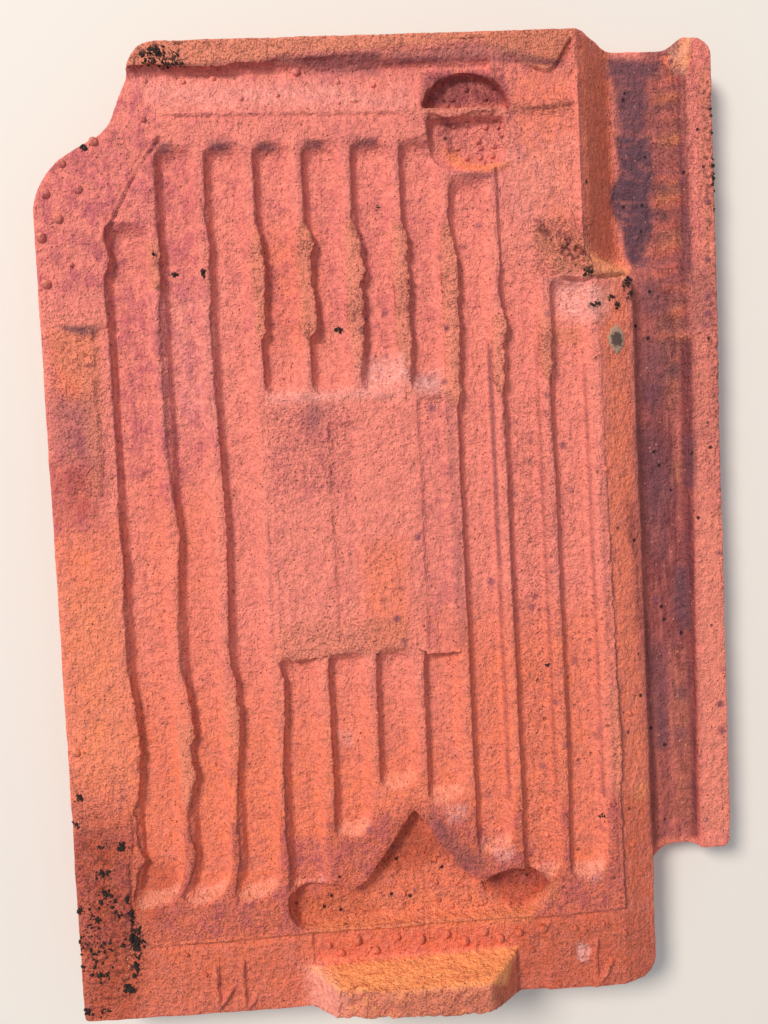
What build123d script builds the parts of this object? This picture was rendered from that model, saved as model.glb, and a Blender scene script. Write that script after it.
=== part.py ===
from build123d import *
from math import asin, tan
import os

# Interlocking clay roof tile, lying face down with its ribbed underside up.
# Millimetres. X runs across the tile to the cover roll, Y runs from the head
# to the nose, Z is up. The origin is under the middle of the plan, on the
# level of the cover roll's crown, which the tile lies on.

# Length and the strips along it
tile_length = 443.0
head_margin = 36.2          # flat strip that the nib stands on
nose_margin = 33.0          # hollow strip behind the nose lip, lip included
lip_width = 9.0             # nose lip, level with the rib tops

# Widths, from the side lock on the left to the cover roll on the right
flange_width = 30.0         # plain strip over the side lock
first_pitch = 24.5          # the first groove is a little wider
groove_pitch = 21.8
groove_count = 10
shoulder_width = 20.0       # slope from the last rib to the channel
channel_width = 25.0        # channel under the cover roll, at the head end
cover_edge_width = 14.3     # flat outer edge of the cover roll
cover_splay = 3.0           # that edge stands further out at the nose

# Heights, counted down from the rib tops
roll_height = 30.0          # rib tops to the crown of the cover roll
pan_thickness = 13.0
flange_thickness = 8.0
cover_edge_drop = 10.5      # the roll's edge clears the next tile's flange
shoulder_drop = 8.0
channel_drop = 16.5
nose_channel_drop = 21.5    # the channel is deeper where it laps the course below

# Grooves between the ribs: one wall is steep, the other rises gently
groove_depth = 4.5
rib_top = 3.0
steep_wall = 2.4
gentle_wall = 4.5
groove_top_radius = 6.0
groove_foot_radius = 5.0    # at the steep wall
groove_sweep_radius = 12.0  # at the gentle wall
groove_floor_radius = 4.5
groove_top_run = 5.0        # length of the slope at its nose end
groove_foot_run = 7.0       # length of the slope at its head end
groove_land = 13.0          # from the nose strip to the groove ends
head_land = 15.5            # from the head margin to the groove feet
first_groove_drop = 33.0    # the first groove ends lower, under the corner cut

# Stamping pad: the middle grooves stop on each side of it
left_groove_count = 3       # whole grooves on its left
pad_groove_count = 4
pad_length = 116.0
pad_from_nose = 160.5       # nose end to the pad's upper side
pad_slope = 6.0

# Corner cut beside the nose, clear of the neighbouring tile
cut_at_nose = 48.0
cut_at_side = 57.0
cut_inner_x = 35.5
cut_inner_y = 38.0
cut_side_radius = 32.0
cut_inner_radius = 16.0
cut_nose_radius = 13.0

# The cover roll stops short of the head
roll_notch_length = 58.5
roll_notch_radius = 15.0
head_corner_radius = 10.0
plain_corner_radius = 3.0
roll_end_radius = 5.0
roll_nose_radius = 9.0

# Deeper and wider channel towards the nose
nose_channel_length = 101.5
channel_ramp = 9.0
nose_shoulder = 5.2         # how far its wall starts inside the last rib edge
nose_brow_width = 4.8       # first, flatter part of its wall
nose_brow_drop = 2.8
nose_wall_run = 22.0        # width of its whole wall
wall_draft = 1.8            # lean of the channel's steep walls
nose_wall_draft = 3.6       # the same near the nose
brow_radius = 3.0
channel_radius = 3.5        # between the channel's floor and walls
nose_channel_radius = 9.0
edge_radius = 1.5           # along the outer edges of the underside

# Flat field beside the nose channel, a little under the rib tops
left_of_field_count = 8     # grooves on its left
field_drop = 1.8
field_lip = 17.0            # broad part of the nose lip above the field
field_ramp = 30.0           # the groove under the field runs out into it
field_ramp_top = 26.0

# Hollow strip behind the nose lip
strip_depth = 5.0
strip_bend = 14.0           # nose end to the strip's deepest line

# Head margin and batten seat
margin_drop = 1.0
seat_drop = 2.0
seat_x = 5.0
seat_width = 109.0

# Crown-shaped hollow above the nib
crown_x = 0.5
crown_depth = 7.0
crown_draft = 8.0           # degrees
crown_base = 1.0            # from the head margin to its lower side
crown_reach = 60.0          # its middle to the end of a lobe
crown_lobe_height = 20.5
crown_lobe_width = 23.0
crown_lobe_radius = 9.5
crown_lobe_run = 6.0        # lobe's shoulder in to the valley
crown_flank_run = 7.0       # valley in to the peak's flank
crown_valley_y = 17.0
crown_flank_radius = 7.0
crown_peak = 53.5
crown_border = 9.0          # land kept between the crown and the groove feet
scoop_from_middle = 46.0    # lens-shaped scoop in the lobe beside the cover roll
scoop_length = 31.0
scoop_ends = 14.5           # the crown's lower side to its pointed ends
scoop_rise = 7.7            # its ends to its upper side
scoop_fall = 13.3           # its ends to its lower side
scoop_depth = 4.0           # under the crown's floor, at the upper side

# Two-part clip pocket at the nose strip
pocket_x = 39.0
dome_radius = 21.0
dome_height = 17.0
dome_drop = 8.5             # floor under the rib tops
pocket_width = 37.0
pocket_length = 25.0
pocket_drop = 5.5
pocket_draft = 20.0         # degrees
pocket_ridge = 3.0          # land between the two parts
pocket_ridge_top = 0.8      # from the strip to the ridge
pocket_corner_radius = 12.0
pocket_head_radius = 2.0
land_under_pocket = 2.0

# Hanging nib
nib_x = -2.5
nib_height = 20.0           # above the rib tops
nib_base_width = 98.0
nib_top_width = 64.0
nib_base_depth = 21.0
nib_top_depth = 13.0
nib_front_lean = 2.5
nib_radius = 2.0

# Side lock and head lock, on the face that lies down
lock_width = 45.0           # flange and water channel together
lock_rib_height = 6.5
lock_rib_base = 7.0
lock_rib_top = 4.0
lock_rib_inset = 4.5        # tile edge to the outer rib's middle
lock_rib_spacing = 12.5
lock_rib_count = 2
lock_rib_length = 352.0
lock_rib_head_gap = 5.0
head_rib_height = 2.5
head_rib_base = 9.0
head_rib_top = 5.0
head_rib_inset = 50.0       # head end to the rib's middle
head_rib_side_gap = 2.0
head_rib_roll_gap = 10.0

# Outside of the cover roll
crown_line_from_edge = 29.0
roll_half_width = 21.5      # half of its round top
roll_rise = 7.5             # height of its round top
roll_side_height = 5.5
roll_foot_radius = 14.0
nose_radius = 5.0           # rounding of the lying face at the nose

overshoot = 10.0            # how far cutting shapes run past the tile

# Worked out from the sizes above
tile_width = (
    flange_width + first_pitch + groove_pitch * (groove_count - 1)
    + shoulder_width + channel_width + cover_edge_width + cover_splay
)
left, right = -tile_width / 2, tile_width / 2
head, nose = -tile_length / 2, tile_length / 2
rib_z = roll_height
above = rib_z + overshoot
pan_z = rib_z - pan_thickness
flange_z = rib_z - flange_thickness
cover_edge_z = rib_z - cover_edge_drop
head_line = head + head_margin
nose_line = nose - nose_margin
cover_edge_x = right - cover_splay - cover_edge_width
channel_x = cover_edge_x - channel_width
rib_edges = [left + flange_width] + [
    left + flange_width + first_pitch + groove_pitch * i for i in range(groove_count)
]
last_edge = rib_edges[-1]
wide_x = last_edge - nose_shoulder
roll_end = head + roll_notch_length
channel_step = nose - nose_channel_length
field_x = rib_edges[left_of_field_count]
field_foot = channel_step - channel_ramp
pad_top = nose - pad_from_nose
pad_foot = pad_top - pad_length
ridge_top = nose_line - pocket_ridge_top
pocket_top = ridge_top - pocket_ridge
pocket_foot = pocket_top - pocket_length
groove_foot_radii = (groove_foot_radius, groove_sweep_radius)
groove_floor_radii = (groove_floor_radius, groove_floor_radius)
pad_radii = (groove_top_radius, groove_top_radius)
crown_foot = head_line + crown_base
crown_valley_x = crown_reach - crown_lobe_width - crown_lobe_run
crown_flank_x = crown_valley_x - crown_flank_run
roll_crown_x = right - crown_line_from_edge
roll_radius = (roll_half_width**2 + roll_rise**2) / (2 * roll_rise)
roll_slope = asin(roll_half_width / roll_radius)
roll_foot_x = roll_crown_x - roll_half_width - (pan_z - roll_rise) / tan(roll_slope)


def polygon(points):
    """Face in the XY plane from its corners."""
    return make_face(Polyline(*points, close=True))


def rounded_polygon(corners):
    """Face in the XY plane from (corner, radius) pairs."""
    face = polygon([corner for corner, radius in corners])
    for (x, y), radius in corners:
        if radius > 0:
            nearest = face.vertices().sort_by_distance(Vector(x, y, 0))[0]
            face = fillet(nearest, radius)
    return face


def rectangle_corners(x0, x1, y0, y1, low_radii, high_radius):
    """Corners of a rectangle, with a radius for each low corner and one for both high ones."""
    return [
        ((x0, y0), low_radii[0]),
        ((x1, y0), low_radii[1]),
        ((x1, y1), high_radius),
        ((x0, y1), high_radius),
    ]


def block(x_range, y_range, z_range):
    """Block between two corners."""
    (x0, x1), (y0, y1), (z0, z1) = x_range, y_range, z_range
    align = (Align.MIN, Align.MIN, Align.MIN)
    return Pos(x0, y0, z0) * Box(x1 - x0, y1 - y0, z1 - z0, align=align)


def along_tile(profile, y0, y1):
    """Solid that runs along Y, from its XZ profile points."""
    face = make_face(Polyline(*[(x, y0, z) for x, z in profile], close=True))
    return extrude(face, amount=y1 - y0, dir=(0, 1, 0))


def across_tile(profile, x0, x1):
    """Solid that runs along X, from its YZ profile points."""
    face = make_face(Polyline(*[(x0, y, z) for y, z in profile], close=True))
    return extrude(face, amount=x1 - x0, dir=(1, 0, 0))


def plan_outline():
    """Outline of the tile seen from above."""
    return rounded_polygon([
        ((left, head), plain_corner_radius),
        ((channel_x, head), head_corner_radius),
        ((channel_x, roll_end), roll_notch_radius),
        ((right - cover_splay, roll_end), roll_end_radius),
        ((right, nose), roll_nose_radius),
        ((left + cut_at_nose, nose), cut_nose_radius),
        ((left + cut_inner_x, nose - cut_inner_y), cut_inner_radius),
        ((left, nose - cut_at_side), cut_side_radius),
    ])


def lying_face():
    """Bar with the tile's section: cover roll, pan and flange, rounded at the nose."""
    roll_side_x = roll_crown_x + roll_half_width
    roll_inner_x = roll_crown_x - roll_half_width
    lock_x = left + lock_width
    side_z = cover_edge_z - roll_side_height
    top_right = (right, head, rib_z)
    side = Polyline((left, head, rib_z), top_right, (right, head, side_z), (roll_side_x, head, roll_rise))
    crown = ThreePointArc(side @ 1, (roll_crown_x, head, 0), (roll_inner_x, head, roll_rise))
    foot_corner = (roll_foot_x, head, pan_z)
    foot = FilletPolyline(crown @ 1, foot_corner, (lock_x, head, pan_z), radius=roll_foot_radius)
    lock = Polyline(foot @ 1, (lock_x, head, flange_z), (left, head, flange_z), (left, head, rib_z))
    section = make_face(Wire([*side.edges(), *crown.edges(), *foot.edges(), *lock.edges()]))
    bar = extrude(section, amount=tile_length, dir=(0, 1, 0))
    end_edges = bar.faces().sort_by(Axis.Y)[-1].edges()
    under = [edge for edge in end_edges if edge.center().Z < rib_z]
    low_edges = [edge for edge in under if left < edge.center().X < right - edge_radius]
    return fillet(low_edges, nose_radius)


def blank():
    """Tile without its underside relief, its upper rim rounded."""
    body = lying_face() & extrude(plan_outline(), amount=rib_z)
    rim = body.faces().filter_by(Plane.XY).sort_by(Axis.Z)[-1].outer_wire().edges()
    return fillet(rim, edge_radius)


def channel_section(y, wall, floor_z, lean):
    """XZ face of the space over the channel's inner wall, its floor and the roll's edge."""
    edge_x = cover_edge_x + cover_splay * (y - roll_end) / (nose - roll_end)
    corners = [
        *wall,
        ((edge_x - lean, floor_z), channel_radius),
        ((edge_x, cover_edge_z), edge_radius),
    ]
    start = (wall[0][0][0], y, above)
    stop = (right + overshoot, y, cover_edge_z)
    bends = [(x, y, z) for (x, z), radius in corners]
    lower = FilletPolyline(start, *bends, stop, radius=[radius for corner, radius in corners])
    upper = Polyline(stop, (right + overshoot, y, above), start)
    return make_face(Wire([*lower.edges(), *upper.edges()]))


def plain_section(y):
    """Channel section along most of the tile."""
    floor_z = rib_z - channel_drop
    wall = [
        ((last_edge, rib_z), edge_radius),
        ((channel_x, rib_z - shoulder_drop), edge_radius),
        ((channel_x + wall_draft, floor_z), channel_radius),
    ]
    return channel_section(y, wall, floor_z, wall_draft)


def nose_section(y):
    """Channel section near the nose, deeper and wider."""
    floor_z = rib_z - nose_channel_drop
    wall = [
        ((wide_x, rib_z), edge_radius),
        ((wide_x + nose_brow_width, rib_z - nose_brow_drop), brow_radius),
        ((wide_x + nose_wall_run, floor_z), nose_channel_radius),
    ]
    return channel_section(y, wall, floor_z, nose_wall_draft)


def roll_channel():
    """Space under the cover roll, from head to nose."""
    body_part = loft([plain_section(head - overshoot), plain_section(field_foot)], ruled=True)
    ramp = loft([plain_section(field_foot), nose_section(channel_step)], ruled=True)
    nose_part = loft([nose_section(channel_step), nose_section(nose + overshoot)], ruled=True)
    return body_part + ramp + nose_part


def groove(x0, x1, foot, top, foot_run=groove_foot_run, top_run=groove_top_run, radii=groove_foot_radii):
    """Groove with a steep wall, a gentle wall and sloping ends, open at the rib tops."""
    opening = rectangle_corners(x0, x1, foot, top, radii, groove_top_radius)
    low_x, high_x = x0 + steep_wall, x1 - gentle_wall
    low_y, high_y = foot + foot_run, top - top_run
    floor = rectangle_corners(low_x, high_x, low_y, high_y, groove_floor_radii, groove_floor_radius)
    upper = Pos(0, 0, rib_z) * rounded_polygon(opening)
    lower = Pos(0, 0, rib_z - groove_depth) * rounded_polygon(floor)
    return loft([upper, lower], ruled=True)


def groove_foot(x0, x1):
    """Foot of a groove, which stays clear of the crown's peak."""
    lowest = head_line + head_land
    reach = max(x0 - crown_x, crown_x - x1, 0)
    if reach > crown_valley_x:
        return lowest
    slope = (crown_peak - crown_valley_y) / crown_valley_x
    return max(lowest, crown_foot + crown_peak + crown_border - slope * reach)


def grooves():
    """All grooves between the ribs."""
    shapes = []
    for number in range(groove_count):
        x0 = rib_edges[number]
        x1 = rib_edges[number + 1] - rib_top
        foot = groove_foot(x0, x1)
        top = nose_line - groove_land
        if number == 0:
            top -= first_groove_drop
        if x0 < pocket_x < x1:
            top = pocket_foot - land_under_pocket
        if left_groove_count <= number < left_groove_count + pad_groove_count:
            shapes.append(groove(x0, x1, foot, pad_foot))
            shapes.append(groove(x0, x1, pad_top, top, foot_run=pad_slope, radii=pad_radii))
        elif number == left_of_field_count:
            shapes.append(groove(x0, x1, foot, field_foot + field_ramp_top, top_run=field_ramp))
        elif number > left_of_field_count:
            shapes.append(groove(x0, x1, foot, field_foot))
        else:
            shapes.append(groove(x0, x1, foot, top))
    return shapes


def nose_hollows():
    """Strip behind the nose lip, and the flat field beside the nose channel."""
    profile = [(nose_line, rib_z), (nose - strip_bend, rib_z - strip_depth), (nose - lip_width, rib_z)]
    strip = across_tile(profile, left - overshoot, field_x)
    field = block((field_x, wide_x), (field_foot, nose - field_lip), (rib_z - field_drop, above))
    return [strip, field]


def clip_pocket():
    """Dome-shaped hollow in the nose strip, and a rounded one under it."""
    circle = Pos(pocket_x, ridge_top + dome_height - dome_radius) * Circle(dome_radius)
    over_ridge = Pos(pocket_x, ridge_top) * Rectangle(
        2 * dome_radius, 2 * dome_radius, align=(Align.CENTER, Align.MIN)
    )
    dome = extrude(Pos(0, 0, rib_z - dome_drop) * (circle & over_ridge), amount=dome_drop + overshoot)
    x0, x1 = pocket_x - pocket_width / 2, pocket_x + pocket_width / 2
    low_radii = (pocket_corner_radius, pocket_corner_radius)
    corners = rectangle_corners(x0, x1, pocket_foot, pocket_top, low_radii, pocket_head_radius)
    pocket = extrude(Pos(0, 0, rib_z) * rounded_polygon(corners), amount=-pocket_drop, taper=pocket_draft)
    return [dome, pocket]


def crown_side(side):
    """Corners of the crown from its foot to its flank, on one side of its middle."""
    lobe_top = crown_foot + crown_lobe_height
    return [
        ((crown_x + side * crown_reach, crown_foot), crown_lobe_radius),
        ((crown_x + side * crown_reach, lobe_top), crown_lobe_radius),
        ((crown_x + side * (crown_reach - crown_lobe_width), lobe_top), crown_flank_radius),
        ((crown_x + side * crown_valley_x, crown_foot + crown_valley_y), 0),
        ((crown_x + side * crown_flank_x, lobe_top), crown_flank_radius),
    ]


def crown_hollow():
    """Crown-shaped hollow above the nib: a pointed middle between two round lobes."""
    peak = ((crown_x, crown_foot + crown_peak), 0)
    outline = rounded_polygon([*crown_side(1), peak, *reversed(crown_side(-1))])
    return extrude(Pos(0, 0, rib_z) * outline, amount=-crown_depth, taper=crown_draft)


def crown_scoop():
    """Lens-shaped scoop in one lobe of the crown, deepest at its upper side."""
    middle_x, ends_y = crown_x + scoop_from_middle, crown_foot + scoop_ends
    left_end = (middle_x - scoop_length / 2, ends_y)
    right_end = (middle_x + scoop_length / 2, ends_y)
    high_y, low_y = ends_y + scoop_rise, ends_y - scoop_fall
    upper = ThreePointArc(left_end, (middle_x, high_y), right_end)
    lower = ThreePointArc(right_end, (middle_x, low_y), left_end)
    lens = make_face(Wire([*upper.edges(), *lower.edges()]))
    floor_z = rib_z - crown_depth
    side = [(low_y, above), (low_y, floor_z), (high_y, floor_z - scoop_depth), (high_y, above)]
    return extrude(lens, amount=above) & across_tile(side, left_end[0], right_end[0])


def head_strips():
    """Head margin, and the batten seat sunk into it."""
    seat_ends = (seat_x - seat_width / 2, seat_x + seat_width / 2)
    reach = (head - overshoot, head_line)
    margin = block((left - overshoot, right + overshoot), reach, (rib_z - margin_drop, above))
    seat = block(seat_ends, reach, (rib_z - seat_drop, above))
    return [margin, seat]


def nib():
    """Hanging nib: drafted on every side, its outer side at the head end."""
    low_edge = (Align.CENTER, Align.MIN)
    top_y = head + nib_base_depth - nib_front_lean - nib_top_depth
    base = Pos(nib_x, head, rib_z - seat_drop) * Rectangle(nib_base_width, nib_base_depth, align=low_edge)
    top = Pos(nib_x, top_y, rib_z + nib_height) * Rectangle(nib_top_width, nib_top_depth, align=low_edge)
    body = loft([base, top], ruled=True)
    return fillet(body.faces().sort_by(Axis.Z)[-1].edges(), nib_radius)


def rib_profile(middle, base_z, base, top, height):
    """Trapezium that hangs under the lying face, with its root inside the tile."""
    return [
        (middle - base / 2, base_z + height / 2),
        (middle - base / 2, base_z),
        (middle - top / 2, base_z - height),
        (middle + top / 2, base_z - height),
        (middle + base / 2, base_z),
        (middle + base / 2, base_z + height / 2),
    ]


def lock_ribs():
    """Side lock ribs along the left edge and the head lock rib across the pan."""
    start = head + lock_rib_head_gap
    ribs = []
    for i in range(lock_rib_count):
        middle = left + lock_rib_inset + i * lock_rib_spacing
        profile = rib_profile(middle, flange_z, lock_rib_base, lock_rib_top, lock_rib_height)
        ribs.append(along_tile(profile, start, start + lock_rib_length))
    profile = rib_profile(head + head_rib_inset, pan_z, head_rib_base, head_rib_top, head_rib_height)
    ribs.append(across_tile(profile, left + lock_width + head_rib_side_gap, roll_foot_x - head_rib_roll_gap))
    return ribs


def roof_tile():
    """The whole tile, one fired piece."""
    body = blank() - roll_channel()
    for hollows in (grooves(), nose_hollows(), clip_pocket(), crown_hollow(), crown_scoop(), head_strips()):
        body = body - hollows
    return body + [nib(), *lock_ribs()]


tile = roof_tile()
print("valid", tile.is_valid, "solids", len(tile.solids()), "volume", round(tile.volume))
os.makedirs("parts", exist_ok=True)
export_step(tile.solids()[0], "parts/roof_tile.step")
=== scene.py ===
import math
import random
import bpy
import numpy as np
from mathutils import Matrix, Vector


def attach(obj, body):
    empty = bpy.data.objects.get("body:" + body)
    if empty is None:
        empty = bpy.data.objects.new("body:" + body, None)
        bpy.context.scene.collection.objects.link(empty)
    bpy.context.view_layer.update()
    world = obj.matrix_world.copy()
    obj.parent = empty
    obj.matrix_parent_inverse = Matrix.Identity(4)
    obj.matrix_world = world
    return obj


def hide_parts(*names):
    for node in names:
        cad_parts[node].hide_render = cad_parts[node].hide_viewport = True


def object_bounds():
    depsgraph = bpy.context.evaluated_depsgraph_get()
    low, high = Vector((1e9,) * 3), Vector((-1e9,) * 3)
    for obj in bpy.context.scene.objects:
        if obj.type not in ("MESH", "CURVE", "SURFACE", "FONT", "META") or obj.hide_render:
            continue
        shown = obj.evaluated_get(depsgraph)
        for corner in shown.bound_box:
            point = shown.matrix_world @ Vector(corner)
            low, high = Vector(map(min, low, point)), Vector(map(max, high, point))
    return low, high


# Pressed and fired clay roof tile, lying face down, seen from above.
# Places of marks are in mm, as the camera sees them on the plane of the rib tops,
# counted from the point under the camera. +y is towards the nose.

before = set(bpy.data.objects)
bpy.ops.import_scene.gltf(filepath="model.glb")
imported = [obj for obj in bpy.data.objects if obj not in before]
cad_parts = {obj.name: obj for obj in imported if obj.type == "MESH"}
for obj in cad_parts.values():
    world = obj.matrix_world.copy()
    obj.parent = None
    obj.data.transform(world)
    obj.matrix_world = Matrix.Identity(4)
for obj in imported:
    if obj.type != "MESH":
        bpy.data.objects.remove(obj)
cadBox = [list(corner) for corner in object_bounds()]
mm = 0.001

view = {
    "place": (-18.5, 20.2, 380.0),       # mm
    "turn": (-1.98016, -1.98900, -2.79284),
    "lens": 27.035,
    "ribTops": 30.0,                     # mm over the floor
}


def toLinear(hexColour):
    channels = [int(hexColour[i:i + 2], 16) / 255 for i in (1, 3, 5)]
    return [c / 12.92 if c <= 0.04045 else ((c + 0.055) / 1.055) ** 2.4 for c in channels] + [1.0]


def addNode(tree, kind, inputs=None, **settings):
    node = tree.nodes.new("ShaderNode" + kind)
    for name, value in settings.items():
        setattr(node, name, value)
    for socket, value in (inputs or {}).items():
        if isinstance(value, bpy.types.NodeSocket):
            tree.links.new(value, node.inputs[socket])
        else:
            node.inputs[socket].default_value = value
    return node


def selectOnly(piece):
    bpy.ops.object.select_all(action="DESELECT")
    piece.hide_set(False)
    piece.select_set(True)
    bpy.context.view_layer.objects.active = piece


def applyModifier(piece, kind, **settings):
    selectOnly(piece)
    modifier = piece.modifiers.new(kind.lower(), kind)
    for name, value in settings.items():
        setattr(modifier, name, value)
    bpy.ops.object.modifier_apply(modifier=modifier.name)


def joinInto(piece, others):
    selectOnly(piece)
    for other in others:
        other.select_set(True)
    bpy.ops.object.join()


def readPoints(piece):
    points = np.empty(len(piece.data.vertices) * 3)
    piece.data.vertices.foreach_get("co", points)
    return points.reshape(-1, 3) / mm


def readNormals(piece):
    normals = np.empty(len(piece.data.vertices) * 3)
    piece.data.vertex_normals.foreach_get("vector", normals)
    return normals.reshape(-1, 3)


def writePoints(piece, points):
    piece.data.vertices.foreach_set("co", (points * mm).ravel())
    piece.data.update()


def makeCamera():
    place = [value * mm for value in view["place"]]
    turn = [math.radians(value) for value in view["turn"]]
    bpy.ops.object.camera_add(location=place, rotation=turn)
    camera = bpy.context.object
    camera.data.lens = view["lens"]
    camera.data.sensor_width = 36
    camera.data.clip_start = 0.01
    bpy.context.scene.camera = camera
    print("camera placed")


studio = {
    "floorSize": 6.0,
    "floorColour": "#e9e6e1",
    "skyColour": "#f3f5fa",
    "skyStrength": 0.47,
    "keyPlace": (-2.15, 2.05, 3.00),
    "keySize": 1.3,
    "keyPower": 166,
    "keyColour": "#fff4e8",
}


def makeStudio():
    bpy.ops.mesh.primitive_plane_add(size=studio["floorSize"])
    floor = bpy.context.object
    floor.name = "studio_floor"
    paper = bpy.data.materials.new("matt_paper")
    paper.use_nodes = True
    shader = paper.node_tree.nodes["Principled BSDF"]
    shader.inputs["Base Color"].default_value = toLinear(studio["floorColour"])
    shader.inputs["Roughness"].default_value = 0.9
    floor.data.materials.append(paper)

    world = bpy.data.worlds.new("soft_sky")
    world.use_nodes = True
    sky = world.node_tree.nodes["Background"]
    sky.inputs["Color"].default_value = toLinear(studio["skyColour"])
    sky.inputs["Strength"].default_value = studio["skyStrength"]
    bpy.context.scene.world = world

    place = Vector(studio["keyPlace"])
    turn = place.to_track_quat("Z", "Y").to_euler()
    bpy.ops.object.light_add(type="AREA", location=place, rotation=turn)
    key = bpy.context.object
    key.data.shape = "DISK"
    key.data.size = studio["keySize"]
    key.data.energy = studio["keyPower"]
    key.data.color = toLinear(studio["keyColour"])[:3]
    bpy.context.scene.view_settings.view_transform = "Standard"
    print("floor and light ready")


tileBody = {
    "voxel": 0.8,                # mm
    "quickVoxel": 1.3,
    "hiddenFaces": 26000,        # triangles left on the lying face
    "fineShare": 0.5,            # of the triangles along edges, seams and torn places
    "mostFaces": 186000,
    "waves": [(24.0, 0.8), (8.0, 0.5), (3.0, 0.16)],    # size and depth of the uneven surface, mm
    "hiddenShare": 0.35,         # how uneven the lying face is beside the upper one
    "markRadius": 2.25,
    "smallShare": 0.62,          # of that radius, for the small marks
}

# Round marks of the mould's vent holes: large ones, then small ones
ventMarks = [
    (-24, -212), (-18, -216), (-10.5, -210.5), (-2, -216), (8, -210.5), (19, -212), (31, -210.5),
    (39.5, -214.5), (48.5, -210.5), (56, -214.5), (65, -212), (76.5, -211), (-134.5, 116.5),
    (-126.5, 124.5), (-131.5, 135.5), (-117, 137), (-123.5, 148.5), (-109, 157.5), (-133.5, 96),
    (-133.5, -115), (-18, 185),
]
smallMarks = [
    (71, -221), (-13, -210), (92, -212), (105, -211), (115, -216), (83, -238), (-122, 104), (-86.5, 166.5),
    (-85, 183), (-68, 182), (-55, 183), (-43, 174), (-27, 175), (0, 180), (0, 171), (7, 171.5), (16, 178),
    (51, 170.5), (57.5, 175), (66, 170.5), (48.5, 168), (53.5, 168), (59.5, 167.5), (51, 159), (57, 159.5),
    (65.5, 158), (71, 158), (52.5, 149), (62, 152), (63, 149), (69, 149.5), (56.5, 144.5), (62.5, 145),
    (68, 145.5), (27, -175), (27, -186), (39, -188), (12, -190), (16, -194), (28, -194), (42, -194),
    (34, -197), (48, -197), (61, -198), (58, -162.5), (80, -154), (80, -167), (-89, -212), (-81, -222),
    (114, 2), (121, -112), (120, -174), (123, -188),
]


# Where the camera's ray through a place on the rib-top plane meets the piece
def seenPoint(piece, x, y):
    eye = Vector(view["place"]) * mm
    aim = Vector((x + view["place"][0], y + view["place"][1], view["ribTops"])) * mm
    return piece.ray_cast(eye, (aim - eye).normalized())[1]


def tileFromFrame():
    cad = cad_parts["roof_tile"]
    tile = bpy.data.objects.new("clay_tile", cad.data.copy())
    bpy.context.scene.collection.objects.link(tile)
    tile.data.materials.clear()
    selectOnly(tile)
    bpy.ops.object.mode_set(mode="EDIT")
    bpy.ops.mesh.select_all(action="SELECT")
    bpy.ops.mesh.remove_doubles(threshold=0.00001)
    bpy.ops.object.mode_set(mode="OBJECT")
    return tile


def addMarks(tile):
    dice = random.Random(4)
    marks = [(spot, 1.0) for spot in ventMarks] + [(spot, tileBody["smallShare"]) for spot in smallMarks]
    made = []
    for (x, y), share in marks:
        place = seenPoint(tile, x, y)
        radius = tileBody["markRadius"] * share * dice.uniform(0.85, 1.1) * mm
        bpy.ops.mesh.primitive_uv_sphere_add(segments=12, ring_count=6, radius=radius, location=place)
        bpy.ops.transform.resize(value=(1, dice.uniform(0.85, 1.1), dice.uniform(0.7, 0.95)))
        made.append(bpy.context.object)
    joinInto(tile, made)
    print("vent marks", len(made))


# Four corners of an upright box
def box(left, right, top, bottom):
    return [(left, top), (right, top), (right, bottom), (left, bottom)]


facesUp = -0.3                      # least upward share of a normal on the upper side
ribTopRise = (27.8, 29.2)           # mm over the floor: just under the rib tops, and at them

ribEdges = [-108.0, -83.5, -61.7, -39.9, -18.1, 3.7, 25.5, 47.3, 69.1, 90.9, 112.7]

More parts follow.
